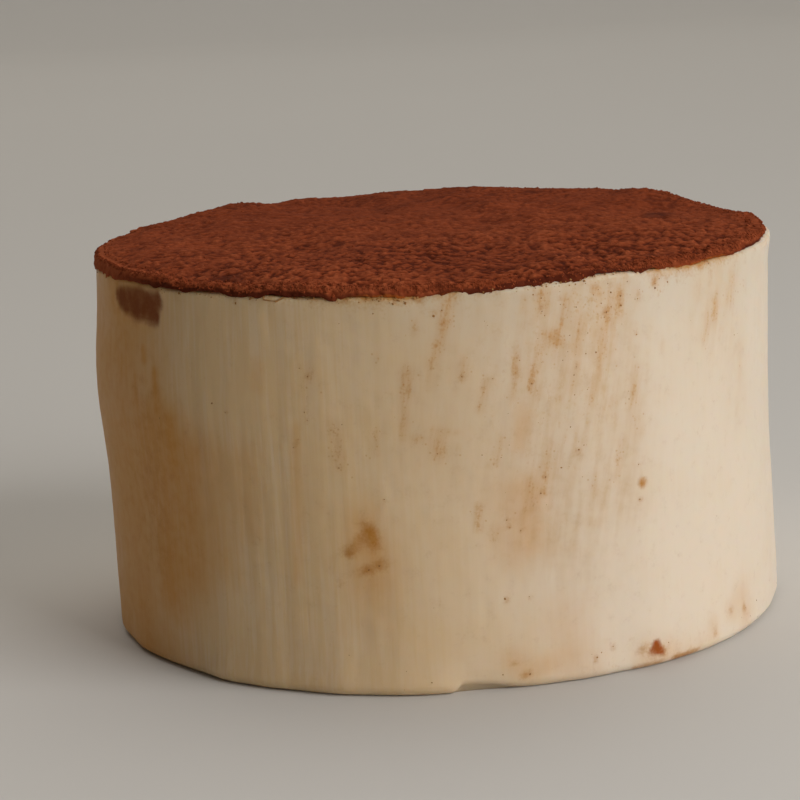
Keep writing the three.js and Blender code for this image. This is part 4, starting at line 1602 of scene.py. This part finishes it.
class TIRAMISU_OT_crumbs(Operator):
    """Set crumbs and specks on the cream, under its rim, on its side and by its base"""

    bl_idname = "tiramisu.crumbs"
    bl_label = "Crumbs and specks"

    def execute(self, context):
        scene = context.scene
        cream = bpy.data.objects["cream_body"]
        make_rim_crumbs(scene.tiramisu_crumbs, scene.tiramisu_cocoa, cream)
        make_specks(scene.tiramisu_crumbs, scene.tiramisu_cocoa, cream)
        make_base_crumbs(scene.tiramisu_cocoa, cream)
        return {"FINISHED"}


class TIRAMISU_OT_strands(Operator):
    """Hang fine strands of damp cocoa from the rim"""

    bl_idname = "tiramisu.strands"
    bl_label = "Strands"

    def execute(self, context):
        scene = context.scene
        make_strands(scene.tiramisu_crumbs, scene.tiramisu_cocoa, bpy.data.objects["cream_body"])
        return {"FINISHED"}


class TIRAMISU_OT_stage(Operator):
    """Set the floor, the lights and the camera"""

    bl_idname = "tiramisu.stage"
    bl_label = "Stage"

    def execute(self, context):
        look = context.scene.tiramisu_stage
        make_floor(look)
        make_lights()
        make_camera(look)
        return {"FINISHED"}


OPERATORS = (
    TIRAMISU_OT_stage, TIRAMISU_OT_cream, TIRAMISU_OT_cocoa, TIRAMISU_OT_grains, TIRAMISU_OT_crumbs,
    TIRAMISU_OT_strands,
)


class TIRAMISU_PT_panel(Panel):
    """The tiramisu's pieces, with the sizes and colours of each"""

    bl_label = "Tiramisu"
    bl_space_type = "VIEW_3D"
    bl_region_type = "UI"
    bl_category = "Tiramisu"

    def draw(self, context):
        layout = self.layout
        for operator in OPERATORS:
            layout.operator(operator.bl_idname)
        for name, settings in SETTINGS.items():
            box = layout.box()
            box.label(text=settings.__doc__)
            for field in settings.__annotations__:
                box.prop(getattr(context.scene, name), field)


CLASSES = (*SETTINGS.values(), *OPERATORS, TIRAMISU_PT_panel)


def register():
    """Adds the classes and the scene's settings."""
    for one in CLASSES:
        bpy.utils.register_class(one)
    for name, settings in SETTINGS.items():
        setattr(bpy.types.Scene, name, PointerProperty(type=settings))


def unregister():
    """Takes the scene's settings and the classes away again."""
    for name in SETTINGS:
        delattr(bpy.types.Scene, name)
    for one in reversed(CLASSES):
        bpy.utils.unregister_class(one)


def main():
    """Builds the dressed tiramisu."""
    register()
    bpy.ops.tiramisu.stage()
    bpy.ops.tiramisu.cream()
    bpy.ops.tiramisu.cocoa()
    bpy.ops.tiramisu.grains()
    bpy.ops.tiramisu.crumbs()
    bpy.ops.tiramisu.strands()


if __name__ == "__main__":
    main()
